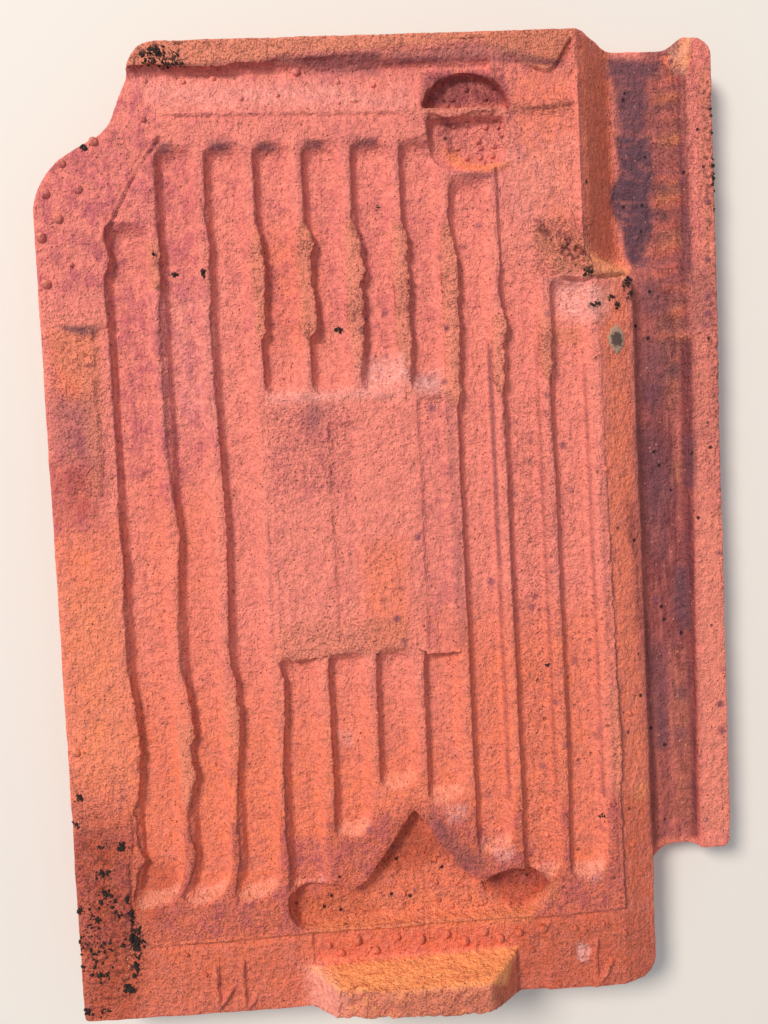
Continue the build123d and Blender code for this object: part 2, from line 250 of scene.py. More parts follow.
# Where each rib's edge really runs: y and x, nose to head
edgeLines = [
    [(125, -108), (115, -107), (105, -105), (99, -108), (90, -108.6), (80, -108), (0, -108), (-20, -108),
     (-30, -107.2), (-38, -107.8), (-50, -108.6), (-80, -108.4), (-88, -107.2), (-100, -105.6),
     (-117, -105.3), (-130, -105.8), (-137, -107), (-144, -110), (-150, -109), (-160, -109), (-165, -107.2),
     (-168, -105.6), (-171, -109), (-200, -109)],
    [(125, -84), (107, -82.8), (102, -84), (95, -83.3), (90, -84), (80, -85.3), (20, -85), (0, -83.5),
     (-10, -82.3), (-20, -81.8), (-40, -83), (-60, -84.4), (-80, -84.4), (-85, -83), (-95, -81.3),
     (-111, -79.9), (-115, -82.6), (-125, -81.5), (-130, -80.2), (-134, -82), (-143, -84), (-148, -85.6),
     (-157, -84.6), (-162, -82.8), (-168, -82.8), (-180, -85), (-190, -86)],
    [(125, -62.6), (115, -61.5), (110, -60.8), (100, -62), (92, -61.3), (80, -62.5), (40, -62), (10, -61),
     (-15, -60.3), (-40, -61), (-60, -62), (-70, -62.6), (-80, -61.6), (-88, -59.8), (-105, -59),
     (-120, -60.5), (-130, -61.5), (-150, -63), (-180, -62.4)],
    [(120, -39.9), (112, -37.8), (100, -37), (90, -37.3), (75, -38), (71, -37.4), (67, -40), (45, -39.4),
     (-80, -40), (-88, -37.8), (-105, -38.3), (-115, -39.5), (-130, -40.4), (-160, -41), (-170, -40),
     (-186, -41)],
    [(119, -18.4), (115, -16.4), (109, -14), (105, -15.5), (95, -16), (90, -16), (85, -14.9), (71, -14.2),
     (69, -16), (67, -18.2), (42, -18), (-80, -17.4), (-140, -17.6)],
    [(120, 3), (115, 5), (109, 7.1), (103, 6.4), (98, 8), (94, 8), (91, 6), (84, 7), (75, 6.3), (70, 7.1),
     (65, 5.8), (55, 5), (49, 3.8), (42, 4), (-80, 4.4), (-120, 4)],
    [(118, 25.4), (112, 27.4), (108, 28.1), (100, 27.3), (88, 28), (78, 27), (68, 27.5), (64, 28.6),
     (61, 27.4), (50, 26.5), (42, 26), (-80, 26.4), (-140, 25.8)],
    [(120, 46.6), (112, 48), (100, 50), (90, 49.8), (85, 50.2), (80, 49.4), (75, 50), (60, 49.5),
     (45, 48.5), (41, 49.6), (37, 48), (33, 47.2), (0, 47), (-60, 47.4), (-150, 47.6)],
    [(112, 69.1), (100, 69.8), (95, 69.8), (90, 68.5), (85, 68.3), (80, 69.5), (70, 71.2), (67, 71.1),
     (60, 69.8), (45, 69.5), (38, 68.2), (0, 68.6), (-150, 69.4)],
    [(90, 91.2), (75, 92), (60, 92), (50, 91.8), (42, 90.1), (20, 90.3), (0, 91), (-150, 91.4)],
    [(60, 112.7), (0, 113.2), (-30, 114), (-60, 114.4), (-100, 115), (-126, 115.6), (-140, 115.6),
     (-150, 114.2), (-160, 115), (-200, 115)],
]

# Thin sheets smeared over the rib tops: y and left side, nose to head. They end at the rib's edge.
smearLines = {
    1: [(114, -91), (106, -88), (98, -87), (92, -86)],
    3: [(114, -42), (105, -43.5), (92, -42.5), (80, -42), (72, -42.5), (69, -41)],
    4: [(120, -19.5), (114, -22), (104, -22.5), (92, -22), (80, -21.5), (72, -22.5), (67, -20)],
    5: [(119, 1), (110, -1), (98, 0), (86, -0.5), (74, -1), (67, 0), (58, 1), (50, 3)],
    6: [(117, 22), (108, 20), (92, 20), (76, 20), (66, 19.5), (60, 22.5), (50, 24.5)],
    7: [(116, 44), (106, 42), (92, 41.5), (72, 41), (56, 41), (44, 40.5), (34, 44)],
    8: [(74, 65), (70, 63.5), (60, 62.8), (50, 63.5), (44, 64.6), (39.5, 66.3), (38, 68)],
    9: [(74, 86), (68, 84.5), (56, 84.8), (48, 87), (42, 89.6)],
    10: [(-98, 113), (-106, 112), (-128, 111.5), (-142, 111.5), (-151, 113.4)],
}
smearHeight = 0.7                   # mm


def softStep(value, start, stop):
    share = np.clip((value - start) / (stop - start), 0, 1)
    return share * share * (3 - 2 * share)


# Rises from 0 to 1 between the first two values and falls back between the last two
def softSpan(value, start, full, end, gone):
    return softStep(value, start, full) * (1 - softStep(value, end, gone))


def lineAt(points, value):
    ordered = sorted(points)
    return np.interp(value, [p[0] for p in ordered], [p[1] for p in ordered])


# Points inside the box round the corners, with a margin
def nearCorners(x, y, corners, margin):
    xs, ys = [c[0] for c in corners], [c[1] for c in corners]
    return (x > min(xs) - margin) & (x < max(xs) + margin) & (y > min(ys) - margin) & (y < max(ys) + margin)


# Uneven line between -1 and 1, with its bends about size mm apart
def roughLine(value, seed, size):
    knots = np.random.default_rng(seed).uniform(-1, 1, 600)
    return np.interp(value / size + 300, np.arange(600), knots)


# Where the camera sees each point, in the rib-top plane
def seenPlaces(points):
    eyeX, eyeY, eyeZ = view["place"]
    share = (eyeZ - view["ribTops"]) / (eyeZ - points[:, 2])
    return (points[:, 0] - eyeX) * share, (points[:, 1] - eyeY) * share


def lineDistance(x, y, corners, closed=False):
    distance = np.full(len(x), 1e9)
    pairs = list(zip(corners, corners[1:] + corners[:1])) if closed else list(zip(corners, corners[1:]))
    for (x0, y0), (x1, y1) in pairs:
        dx, dy = x1 - x0, y1 - y0
        share = np.clip(((x - x0) * dx + (y - y0) * dy) / (dx * dx + dy * dy), 0, 1)
        distance = np.minimum(distance, np.hypot(x - x0 - share * dx, y - y0 - share * dy))
    return distance


# 1 inside the corners, 0 outside, with a soft border
def areaMask(x, y, corners, soft):
    inside = np.zeros(len(x), bool)
    for (x0, y0), (x1, y1) in zip(corners, corners[1:] + corners[:1]):
        crosses = (y0 > y) != (y1 > y)
        if y1 != y0:
            inside ^= crosses & (x < x0 + (y - y0) * (x1 - x0) / (y1 - y0))
    reach = lineDistance(x, y, corners, closed=True)
    return softStep(np.where(inside, reach, -reach), -soft, soft)


# Smooth uneven field between -1 and 1, for places in mm
def valueNoise(x, y, size, seed):
    table = np.random.default_rng(seed).uniform(-1, 1, (512, 512))
    u, v = x / size + 256, y / size + 256
    i, j = np.floor(u).astype(int) % 511, np.floor(v).astype(int) % 511
    a, b = u - np.floor(u), v - np.floor(v)
    a, b = a * a * (3 - 2 * a), b * b * (3 - 2 * b)
    low = table[i, j] * (1 - a) + table[i + 1, j] * a
    high = table[i, j + 1] * (1 - a) + table[i + 1, j + 1] * a
    return low * (1 - b) + high * b


# Ribs get the edges of the real tile: they bulge and hang over where the clay was dragged
def moveEdges(points, normals):
    x, y = seenPlaces(points)
    top = softStep(points[:, 2], *ribTopRise) * (normals[:, 2] > facesUp)
    for number, line in enumerate(edgeLines):
        edge = ribEdges[number]
        low, high = min(p[0] for p in line), max(p[0] for p in line)
        along = softSpan(y, low - 8, low, high, high + 5)
        reach = (lineAt(line, y) - edge) * along
        rough = np.clip(np.abs(reach), 0, 2.2) / 2.2
        reach = reach + along * (0.10 + 0.30 * rough) * roughLine(y, 20 + number, 2.3)
        reach = reach + along * (0.15 + 0.35 * rough) * roughLine(y, 40 + number, 1.0)
        offset = x - edge
        near = softSpan(offset, -4.5, -0.4, 1.2, 2.2)
        points[:, 0] += reach * near * top
        if number in smearLines:
            left = lineAt(smearLines[number], y) + 0.7 * roughLine(y, 60 + number, 4.0)
            low, high = min(p[0] for p in smearLines[number]), max(p[0] for p in smearLines[number])
            ends = softSpan(y, low - 0.8, low + 1.2, high - 1.2, high + 0.8)
            sheet = ends * softStep(x, left - 0.5, left + 0.5) * (offset < 6)
            lift = 0.7 + 0.5 * valueNoise(x, y, 5.0, 7) + 0.25 * valueNoise(x, y, 1.6, 8)
            points[:, 2] += sheet * top * (smearHeight * lift)
            crumbly = sheet * top * softStep(offset, -4.0, -1.0) * (0.5 + 0.5 * valueNoise(x, y, 11.0, 9))
            points[:, 2] += crumbly * (0.9 * valueNoise(x, y, 1.3, 10) - 0.35)

    # the left ribs bend outwards at their head ends, by 5 mm
    bend = softStep(-y, 166, 194) * softStep(x, -116, -104) * (1 - softStep(x, -54, -42))
    points[:, 0] -= 5.0 * bend * (points[:, 2] > 22) * (normals[:, 2] > facesUp)


# Edges that run across the tile: y in the solid model, the line they really follow as x and y, their
# unevenness as depth, seed and size, how far the shift reaches in y and in x, and where the mesh stays fine
crossEdges = [
    {"edge": 192.3,      # nose lip
     "line": [(-100, 190), (-82, 191.5), (-75, 190), (-62, 189), (-50, 189), (-45, 191), (-38, 190),
              (-30, 190.6), (-27, 192.6), (-22, 194), (-17, 193), (-14, 191.5), (-8, 191.6), (0, 192.5),
              (8, 193.6), (12, 192), (16, 193), (20, 195), (35, 195.6), (43, 194), (50, 195.6), (60, 196.6),
              (68, 197.4)],
     "uneven": [(0.35, 91, 1.4), (0.2, 92, 0.8)], "reach": (-2.4, -0.6, 1.0, 6.0),
     "span": (-104, -96, 66, 69), "fine": (2.5, -98, 70)},
    {"edge": -75.2,      # foot of the pad
     "line": [(-42, -75.2), (-36, -76), (-33, -78.2), (-22, -77.8), (-18, -77.6), (-16, -76.3),
              (-10, -75.6), (0, -75.8), (3, -75), (5, -78.8), (7, -74.8), (20, -75), (24, -76), (28, -78.4),
              (44, -78.4), (47, -76)],
     "uneven": [(0.4, 93, 1.8)], "reach": (-1.8, -0.5, 0.5, 5.0), "span": (-42, -40, 46, 48),
     "fine": (2.2, -43, 48)},
    {"edge": 164.2,      # ledge of the clip pocket
     "line": [(38, 165.4), (42, 165), (46, 163.6), (51, 163), (55, 163.8), (59, 165.2), (64, 165.5),
              (69, 164.8), (73, 165.6), (77, 166.4)],
     "uneven": [(0.4, 94, 1.5)], "reach": (-1.8, -0.5, 0.5, 3.0), "span": (38, 41, 74, 77),
     "fine": (0.0, 38, 77)},
]

# Broad sheet at the right end of the nose lip
lipSheet = [(66, 196), (71, 191.5), (75, 190), (78, 190), (81, 189), (83, 186), (88, 184.5), (94, 181.5),
            (98, 184), (101, 189), (104, 194), (109, 200), (100, 206), (66, 206)]
fieldLevel = 28.2                   # mm over the floor, beside the sheet
sheetHeight = 1.7

# Areas that stand higher or lower: corners, border softness, height in mm
areas = {
    "flange layer": ([(-114.8, 74), (-114, 60), (-115.2, 50), (-114.6, 34), (-113.6, 14), (-115.4, 0),
                      (-104, -2), (-104, 78)], 0.45, -0.9),
    "left seam": ([(-111, -146), (-110.6, -158), (-113, -171), (-113.6, -205), (-104, -206), (-104, -146)],
                  0.5, -0.8),
    "tongue": ([(91.5, 91), (95, 91.5), (100, 89.5), (107, 88), (112, 90), (129, 90.5), (128, 94),
                (121, 97), (112, 100), (106, 101), (90, 99)], 0.7, 1.5),
    "first strip": (box(-11.5, 0, 28.5, -64), 0.7, -0.9),
    "second strip": (box(29.5, 40.5, 38, -78), 0.7, -0.9),
    "pad face": ([(-39, 38), (-21, 41), (44, 40), (44, -72), (-38, -72)], 1.2, -0.25),
    "pale chip": ([(92, -219), (97, -220), (99, -223), (96, -229), (92, -227)], 0.5, -0.45),
    "nose lip patch": ([(147, 190), (150, 179), (157, 180), (160, 188), (161, 196), (150, 196)], 0.6, -0.5),
    "rib lump": ([(84.5, 71), (91.5, 72), (92, 52), (88, 44), (85, 52)], 0.8, 0.4),
}

# Raised (or sunk) lines: corners, height, half width in mm
lines = {
    "top seam": ([(-79, 168.3), (-40, 167.6), (0, 166.8), (34, 166.2)], 1.2, 0.6),
    "top seam under": ([(-72, 167.2), (-40, 166.5), (0, 165.7), (30, 165.2)], -0.8, 0.6),
    "top seam right": ([(78, 165.8), (92, 166.3), (106, 168)], 1.0, 0.6),
    "bottom seam": ([(-106, -206.7), (-60, -206.2), (-40, -205.4), (-5, -205), (20, -204.6)], 1.5, 0.7),
    "bottom seam right": ([(72, -205), (90, -204.6), (115, -203.4)], 1.3, 0.7),
    "bottom seam under": ([(-104, -208.2), (-60, -207.7), (-34, -206.9)], -1.2, 0.8),
    "bottom seam right under": ([(74, -206.5), (90, -206.1), (114, -204.9)], -1.0, 0.8),
    "right seam": ([(115.4, -203.6), (115, -185), (115.2, -152)], 0.6, 0.6),
    "corner seam": ([(-82, 158), (-94, 142), (-104, 124), (-108, 115)], 1.5, 1.3),
    "corner seam groove": ([(-84.2, 156.5), (-95.6, 139.8), (-105.6, 122.4)], -1.8, 0.7),
    "corner seam crack": ([(-79.6, 158.5), (-91.6, 143), (-101.4, 125), (-105.4, 117)], -1.5, 0.6),
    "strip crease": ([(20, 187), (30, 188), (45, 187.5), (52, 186.5)], 0.4, 0.8),
    "crack": ([(92, 90.5), (95, 91), (100, 89), (107, 87.6), (112, 89.4), (124, 89.6)], -1.1, 0.8),
    "ridge step": ([(-30, -207), (-31, -213)], -0.5, 0.6),
    "flange crack": ([(-115.5, 100), (-114.5, 92)], -0.5, 0.5),
    "pad side": ([(-40.3, 40), (-40.6, 20), (-39.8, -10), (-40.8, -40), (-40.4, -74)], -0.7, 0.9),
    "field side": ([(107.4, 176), (107.8, 150), (107, 125), (107.5, 108)], 0.5, 0.7),
    "fifth crease": ([(62.6, 62), (63.4, 20), (63, -40), (63.6, -110), (64, -150)], 0.4, 0.6),
    "sixth crease": ([(84, 60), (84.6, 20), (84.6, -40), (85.4, -110), (85.8, -160)], 0.35, 0.6),
    "last crease": ([(105.8, 60), (106.4, 0), (106.8, -60), (107.4, -130), (107.8, -175)], 0.35, 0.6),
    "pocket rim": ([(47.5, 152), (48.5, 146.5), (53, 142.4), (58, 140.6), (64, 139.8), (70, 140.3),
                    (75.5, 142)], 0.9, 1.1),
    "ledge crack": ([(76, 166.2), (82, 166), (88, 165), (96, 165.6), (106, 167)], -1.0, 0.6),
    "field crack": ([(86, 151), (92, 154), (99, 155), (106, 156.8)], -0.7, 0.6),
    "roll crack": ([(157, 60.5), (161, 61.5), (168, 62.5)], -0.7, 0.6),
    "roll crack low": ([(155, -122), (160, -124), (168, -127)], -0.5, 0.6),
    "roll crack high": ([(157, 168), (162, 166), (169, 167)], -0.8, 0.7),
    "roll crack above": ([(157, 142), (163, 140), (169, 141)], -0.6, 0.6),
    "roll crack middle": ([(157, 103), (163, 105), (169, 103)], -0.7, 0.6),
    "roll edge": ([(156.8, 182), (157, 120), (156.8, 60), (155.4, -20), (153.4, -100), (152.6, -168)], 0.6,
                  0.7),
    "first mark": ([(-76, -218), (-75.6, -237)], 2.4, 0.95),
    "first mark barb": ([(-75.6, -238), (-72, -234), (-69, -229)], 2.2, 0.95),
    "second mark": ([(-64, -218), (-63.4, -237)], 2.4, 0.95),
    "second mark barb": ([(-62.4, -239), (-59.5, -236), (-57.5, -231.5)], 2.2, 0.95),
    "third mark": ([(101.5, -219), (100.4, -240)], 2.0, 0.9),
    "third mark barb": ([(101, -239.5), (105, -235), (108, -229)], 2.2, 0.95),
    "scratch one": ([(-42, -38), (-35, -56)], -0.35, 0.6),
    "scratch two": ([(-38, -42), (-31, -60)], -0.3, 0.5),
    "scratch three": ([(-18, -42), (-9, -53)], -0.3, 0.5),
    "scratch four": ([(-15, -46), (-8, -56)], -0.25, 0.5),
    "scratch five": ([(-25, -60), (-18, -68)], -0.25, 0.5),
    "scratch six": ([(41, -21), (46, -17)], -0.4, 0.5),
    "scratch seven": ([(41, -29.5), (46, -27)], -0.4, 0.5),
}

# Torn places: corners, softness, depth in mm
tornAreas = {
    "scar": ([(88, 117), (93, 115), (98, 110), (103, 107), (110, 101), (111, 95), (104, 95), (98, 100),
              (92, 106), (88, 112)], 2.0, 1.8),
    "flange tear": ([(-134, 77), (-113, 77), (-113, 52), (-122, 52), (-131, 64)], 2.5, 0.9),
    "rib crumbs": ([(91, 66), (105, 67), (105, 60), (92, 61)], 1.5, 0.8),
    "rib crumbs low": ([(91, 55), (100, 55), (99, 50), (92, 51)], 1.2, 0.7),
    "lip sheet": (lipSheet, 1.0, 0.3),
    "nose lip": ([(-92, 202), (70, 202), (70, 197), (20, 194.5), (-60, 189.5), (-95, 190)], 1.0, 0.45),
    "roll lip": ([(166, 175), (171, 175), (171, -170), (167, -175), (166, 0)], 1.5, 0.5),
    "second rib": ([(-90, 112), (-83, 110), (-83, 96), (-88, 96)], 1.5, 0.45),
    "lower second rib": ([(-88, -100), (-80, -104), (-80, -138), (-86, -140)], 1.5, 0.6),
    "first rib": ([(-109, -108), (-105, -108), (-105, -136), (-109, -138)], 1.0, 0.5),
    "pad foot": ([(-38, -68), (22, -68), (22, -78), (-38, -79)], 1.5, 0.35),
}

# Broken corner of the nib's crest, and a ring pressed in it: its middle and radius
nibRing = (41, -244, 5.5)
nibChip = [(-19, -234), (-9, -234.5), (1, -238.5), (6, -245), (2, -253), (-22, -253)]

# Folds that run across the roll's channel near the nose: y of their crests, height and width in mm
folds = {
    "crests": [185, 176, 166.5, 159, 150, 139, 131.5, 121.5, 111, 101.5, 92, 83, 71, 61, 50, 41, 30, 19, 8],
    "height": 1.2,
    "width": 2.4,
}


# Crumbs of a torn place, from -1.1 to 1.1
def crumbHeights(x, y, number):
    return 0.6 * valueNoise(x, y, 2.1, 30 + number) + 0.5 * valueNoise(x, y, 1.1, 50 + number)


# How high the folds stand, and where there are any
def foldHeights(x, y):
    drift = y + 1.6 * valueNoise(x, y, 9.0, 81) - 0.12 * (x - 150)
    height = np.zeros(len(x))
    for crest in folds["crests"]:
        height = np.maximum(height, np.exp(-((drift - crest) / folds["width"]) ** 2))
    reach = softStep(x, 133, 144) * (1 - softStep(x, 154, 157)) * softStep(y, -10, 70)
    return reach * height * (0.7 + 0.5 * valueNoise(x, y, 6.0, 82)), reach


def sculptTile(tile):
    points, normals = readPoints(tile), readNormals(tile)
    upper = (normals[:, 2] > -0.2) & (points[:, 2] > 18)
    moveEdges(points, normals)
    top = softStep(points[:, 2], *ribTopRise) * (normals[:, 2] > facesUp)
    for cross in crossEdges:
        x, y = seenPlaces(points)
        reach = lineAt(cross["line"], x) - cross["edge"]
        for depth, seed, size in cross["uneven"]:
            reach = reach + depth * roughLine(x, seed, size)
        near = softSpan(y - cross["edge"], *cross["reach"])
        points[:, 1] += reach * near * top * softSpan(x, *cross["span"])

    # broad sheet at the lip's right end, over the flat field
    x, y = seenPlaces(points)
    patch = (x > 67) & (x < 106.5) & (y > 180) & (y < 199) & (points[:, 2] > 27.0) & upper
    sheet = areaMask(x[patch], y[patch], lipSheet, 0.5)
    share = np.maximum(softStep(x[patch], 68, 80), sheet * (x[patch] > 69.5))
    points[patch, 2] += share * (fieldLevel + sheetHeight * sheet - points[patch, 2])

    for corners, soft, height in areas.values():
        reach = upper & (points[:, 2] > 22)
        points[reach, 2] += height * areaMask(x[reach], y[reach], corners, soft)
    for corners, height, width in lines.values():
        near = upper & nearCorners(x, y, corners, 3)
        distance = lineDistance(x[near], y[near], corners)
        wobble = 0.75 + 0.45 * valueNoise(x[near], y[near], 3.0, 17)
        points[near, 2] += height * wobble * np.exp(-(distance / width) ** 2)
    for number, (corners, soft, depth) in enumerate(tornAreas.values()):
        mask = upper * areaMask(x, y, corners, soft)
        points[:, 2] += mask * depth * (crumbHeights(x, y, number) - 0.25)

    # folds and lumps in the channel
    crest, folded = foldHeights(x, y)
    lumps = folded * 0.5 * valueNoise(x, y, 3.4, 83)
    lumps = lumps + 0.25 * valueNoise(x, y, 2.0, 84) * (x > 124) * (x < 170)
    channel = (normals[:, 2] > 0.3) * (points[:, 2] < 22) * (points[:, 2] > 10)
    points[:, 2] += (folds["height"] * crest + lumps) * channel

    # nib: broken crest, a chipped corner and a small round mark
    high = softStep(points[:, 2], 42, 48)
    chip = areaMask(x, y, nibChip, 1.2)
    points[:, 2] -= high * chip * (2.6 + 0.9 * valueNoise(x, y, 4.0, 71))
    points[:, 2] -= high * (0.5 + 0.7 * valueNoise(x, y, 4.5, 72) + 0.4 * valueNoise(x, y, 1.8, 73))
    points[:, 1] += high * (0.7 * valueNoise(x, y, 5.0, 74) + 0.4 * valueNoise(x, y, 2.0, 75))
    ring = np.abs(np.hypot(x - nibRing[0], y - nibRing[1]) - nibRing[2])
    points[:, 2] -= high * 0.5 * np.exp(-(ring / 0.8) ** 2)
    writePoints(tile, points)
    print("edges, seams and tears shaped")


def unevenSurface(tile):
    points, normals = readPoints(tile), readNormals(tile)
    group = tile.vertex_groups.new(name="uneven")
    upper = np.where((normals[:, 2] > -0.2) & (points[:, 2] > 7), 1.0, tileBody["hiddenShare"])
    for share in (1.0, tileBody["hiddenShare"]):
        group.add([int(i) for i in np.flatnonzero(upper == share)], share, "REPLACE")
    for number, (size, depth) in enumerate(tileBody["waves"]):
        clouds = bpy.data.textures.new(f"clay_waves_{number}", "CLOUDS")
        clouds.noise_scale = size * mm
        clouds.noise_depth = 2
        applyModifier(tile, "DISPLACE", texture=clouds, strength=depth * mm, mid_level=0.55,
                      texture_coords="LOCAL", vertex_group="uneven")


# Parts of the mesh that stay fine: along edges, seams and torn places
def fineParts(points, normals):
    x, y = seenPlaces(points)
    fine = np.zeros(len(points), bool)

    def keepAlong(corners, reach, closed=True):
        near = np.flatnonzero(nearCorners(x, y, corners, 3))
        fine[near] |= lineDistance(x[near], y[near], corners, closed) < reach

    for line in edgeLines:
        low, high = min(p[0] for p in line) - 4, max(p[0] for p in line) + 4
        fine |= (np.abs(x - lineAt(line, y)) < 2.6) & (y > low) & (y < high)
    for number, line in smearLines.items():
        low, high = min(p[0] for p in line) - 2, max(p[0] for p in line) + 2
        fine |= (x > lineAt(line, y) - 1.2) & (x < lineAt(edgeLines[number], y)) & (y > low) & (y < high)
    for cross in crossEdges:
        reach, low, high = cross["fine"]
        fine |= (np.abs(y - lineAt(cross["line"], x)) < reach) & (x > low) & (x < high)
    for corners, height, width in lines.values():
        keepAlong(corners, 1.9, closed=False)
    for corners, soft, depth in [*tornAreas.values(), *areas.values()]:
        keepAlong(corners, 1.6)
    fine |= areaMask(x, y, tornAreas["scar"][0], 2) > 0.5
    fine &= (points[:, 2] > 22) | (x > 150)
    for everywhere, patches in paintAreas.values():
        for corners, soft, strength in patches:
            if soft <= 1.6 and strength >= 0.9:
                keepAlong(corners, soft + 0.3)
    fine &= normals[:, 2] > facesUp
    print("fine points", int(fine.sum()), "of", len(fine))
    return fine


# Triangles are taken from one group of points until the whole piece has the asked number
def thinOut(tile, chosen, faces):
    triangles = sum(len(face.vertices) - 2 for face in tile.data.polygons)
    if faces >= triangles:
        return
    group = tile.vertex_groups.new(name="thinned")
    group.add([int(i) for i in np.flatnonzero(chosen)], 1.0, "REPLACE")
    applyModifier(tile, "DECIMATE", ratio=faces / triangles, vertex_group="thinned")
    tile.vertex_groups.remove(tile.vertex_groups["thinned"])


# No point leaves the box of the solid model
def keepInBox(piece):
    low, high = [np.array(corner) / mm for corner in cadBox]
    writePoints(piece, np.clip(readPoints(piece), low, high))


def makeTile():
    tile = tileFromFrame()
    voxel = tileBody["voxel"]
    applyModifier(tile, "REMESH", mode="VOXEL", voxel_size=voxel * mm)
    print("remeshed", len(tile.data.polygons))
    sculptTile(tile)
    unevenSurface(tile)
    points, normals = readPoints(tile), readNormals(tile)
    hidden = (normals[:, 2] < -0.2) | (points[:, 2] < 8)
    cut = int(2 * hidden.sum()) - tileBody["hiddenFaces"]
    thinOut(tile, hidden, 2 * len(tile.data.polygons) - cut)
    fine = fineParts(readPoints(tile), readNormals(tile))
    faces = sum(len(face.vertices) - 2 for face in tile.data.polygons)
    thinOut(tile, fine, faces - int(2 * fine.sum() * (1 - tileBody["fineShare"])))
    thinOut(tile, ~fineParts(readPoints(tile), readNormals(tile)), tileBody["mostFaces"])
    addMarks(tile)
    keepInBox(tile)
    selectOnly(tile)
    bpy.ops.object.shade_smooth()
    tile.vertex_groups.clear()
    print("tile faces", len(tile.data.polygons))
    return tile


# Layers of paint: how much of each is everywhere, then its patches as corners, border softness and strength
paintAreas = {}
paintAreas["warm"] = 0.20, [
    ([(-145, -60), (60, -110), (140, -150), (140, -260), (-150, -260)], 60, 1.0),
    ([(-100, 20), (-60, 0), (-60, -100), (-110, -100)], 20, 0.6),
    ([(108, 200), (123, 190), (124, 110), (128, 92), (110, 95), (108, 110)], 3, 0.9),
    ([(114, 86), (128, 86), (130, -200), (116, -200)], 3, 0.9),
    ([(146, 185), (160, 196), (161, 180), (149, 176)], 2, 1.0),
    ([(-40, 60), (-10, 60), (-10, 120), (-45, 120)], 14, 0.7),
    ([(-135, 76), (-112, 76), (-114, 40), (-133, 45)], 5, 0.9),
    (box(0, 22, -25, -75), 6, 0.8),
    ([(46, 150), (47, 144), (53, 140), (60, 138), (70, 138), (77, 140), (76, 143), (64, 142), (55, 144),
      (49, 151)], 1.5, 1.0),
    ([(76, 182), (107, 182), (107, 100), (78, 130)], 8, 0.75),
    (box(-142, -106, -10, -150), 16, 0.9),
    (box(28, 116, -60, -206), 30, 0.9),
]
paintAreas["flashed_and_lit"] = 0.0, [
    # painted highlight on the nib's front, which faces the lamp, over orange flashing
    ([(-34, -222), (64, -219), (58, -237), (-20, -236)], 1.5, 1.0),
    ([(-20, -190), (44, -190), (60, -200), (66, -204), (-34, -204), (-36, -192)], 3, 0.15),
    ([(-136, -40), (-110, -40), (-108, -130), (-136, -130)], 12, 0.2),
    ([(149, 190), (161, 196), (158, 178), (151, 180)], 1.2, 0.9),
    ([(46, 149), (47, 144), (53, 140.4), (60, 138.6), (70, 138.6), (77, 141), (74, 142.4), (64, 141.4),
      (55, 143.6), (49, 149)], 1, 0.2),
    ([(108, 104), (112, 100), (130, 92), (126, 88), (110, 91)], 2, 0.6),
    ([(143, 170), (156, 172), (155, 165), (144, 166)], 2, 0.5),
    ([(143, 152), (155, 154), (154, 147), (144, 147)], 2, 0.7),
    ([(142, 127), (150, 131), (156, 129), (150, 122), (143, 120)], 2, 0.6),
    ([(143, 108), (154, 110), (155, 102), (142, 101)], 2, 0.6),
    ([(-30, -200), (78, -200), (70, -207), (-30, -206)], 2, 0.35),
    ([(74, -204), (84, -196), (82, -188), (74, -196)], 2, 0.25),
    ([(142, 20), (152, 40), (154, 84), (142, 70)], 4, 0.35),
    ([(142, -80), (150, -84), (150, -170), (142, -160)], 3, 0.3),
    ([(144, 2), (149, 4), (149, -8), (144, -6)], 2, 0.7),
    (box(122, 128, -145, -153), 2, 0.35),
]
paintAreas["mauve"] = 0.25, [
    ([(-145, 150), (-85, 205), (-75, 170), (-88, 110), (-108, 85), (-145, 85)], 14, 1.0),
    ([(-100, 190), (110, 190), (110, 110), (-60, 110)], 24, 0.5),
    ([(-108, 122), (-88, 152), (-62, 152), (-60, 20), (-84, -10), (-108, 10)], 10, 0.9),
    (box(-60, 46, 150, 60), 20, 0.6),
    ([(-60, 190), (70, 190), (70, 170), (-60, 172)], 8, 0.6),
    (box(-140, -112, 48, 10), 10, 0.9),
    (box(-140, -114, 20, -16), 6, 1.0),
    ([(158, 195), (170, 190), (170, -20), (157, -20)], 5, 0.7),
    ([(38, 184), (76, 184), (78, 168), (38, 167)], 2, 1.0),
    (box(-38, 0, 38, -10), 12, 0.6),
    (box(28, 46, 40, -80), 6, 0.6),
    ([(-42, -160), (0, -160), (-6, -186), (-42, -186)], 6, 0.8),
    ([(26, -150), (48, -150), (86, -180), (86, -202), (48, -186)], 6, 0.7),
]
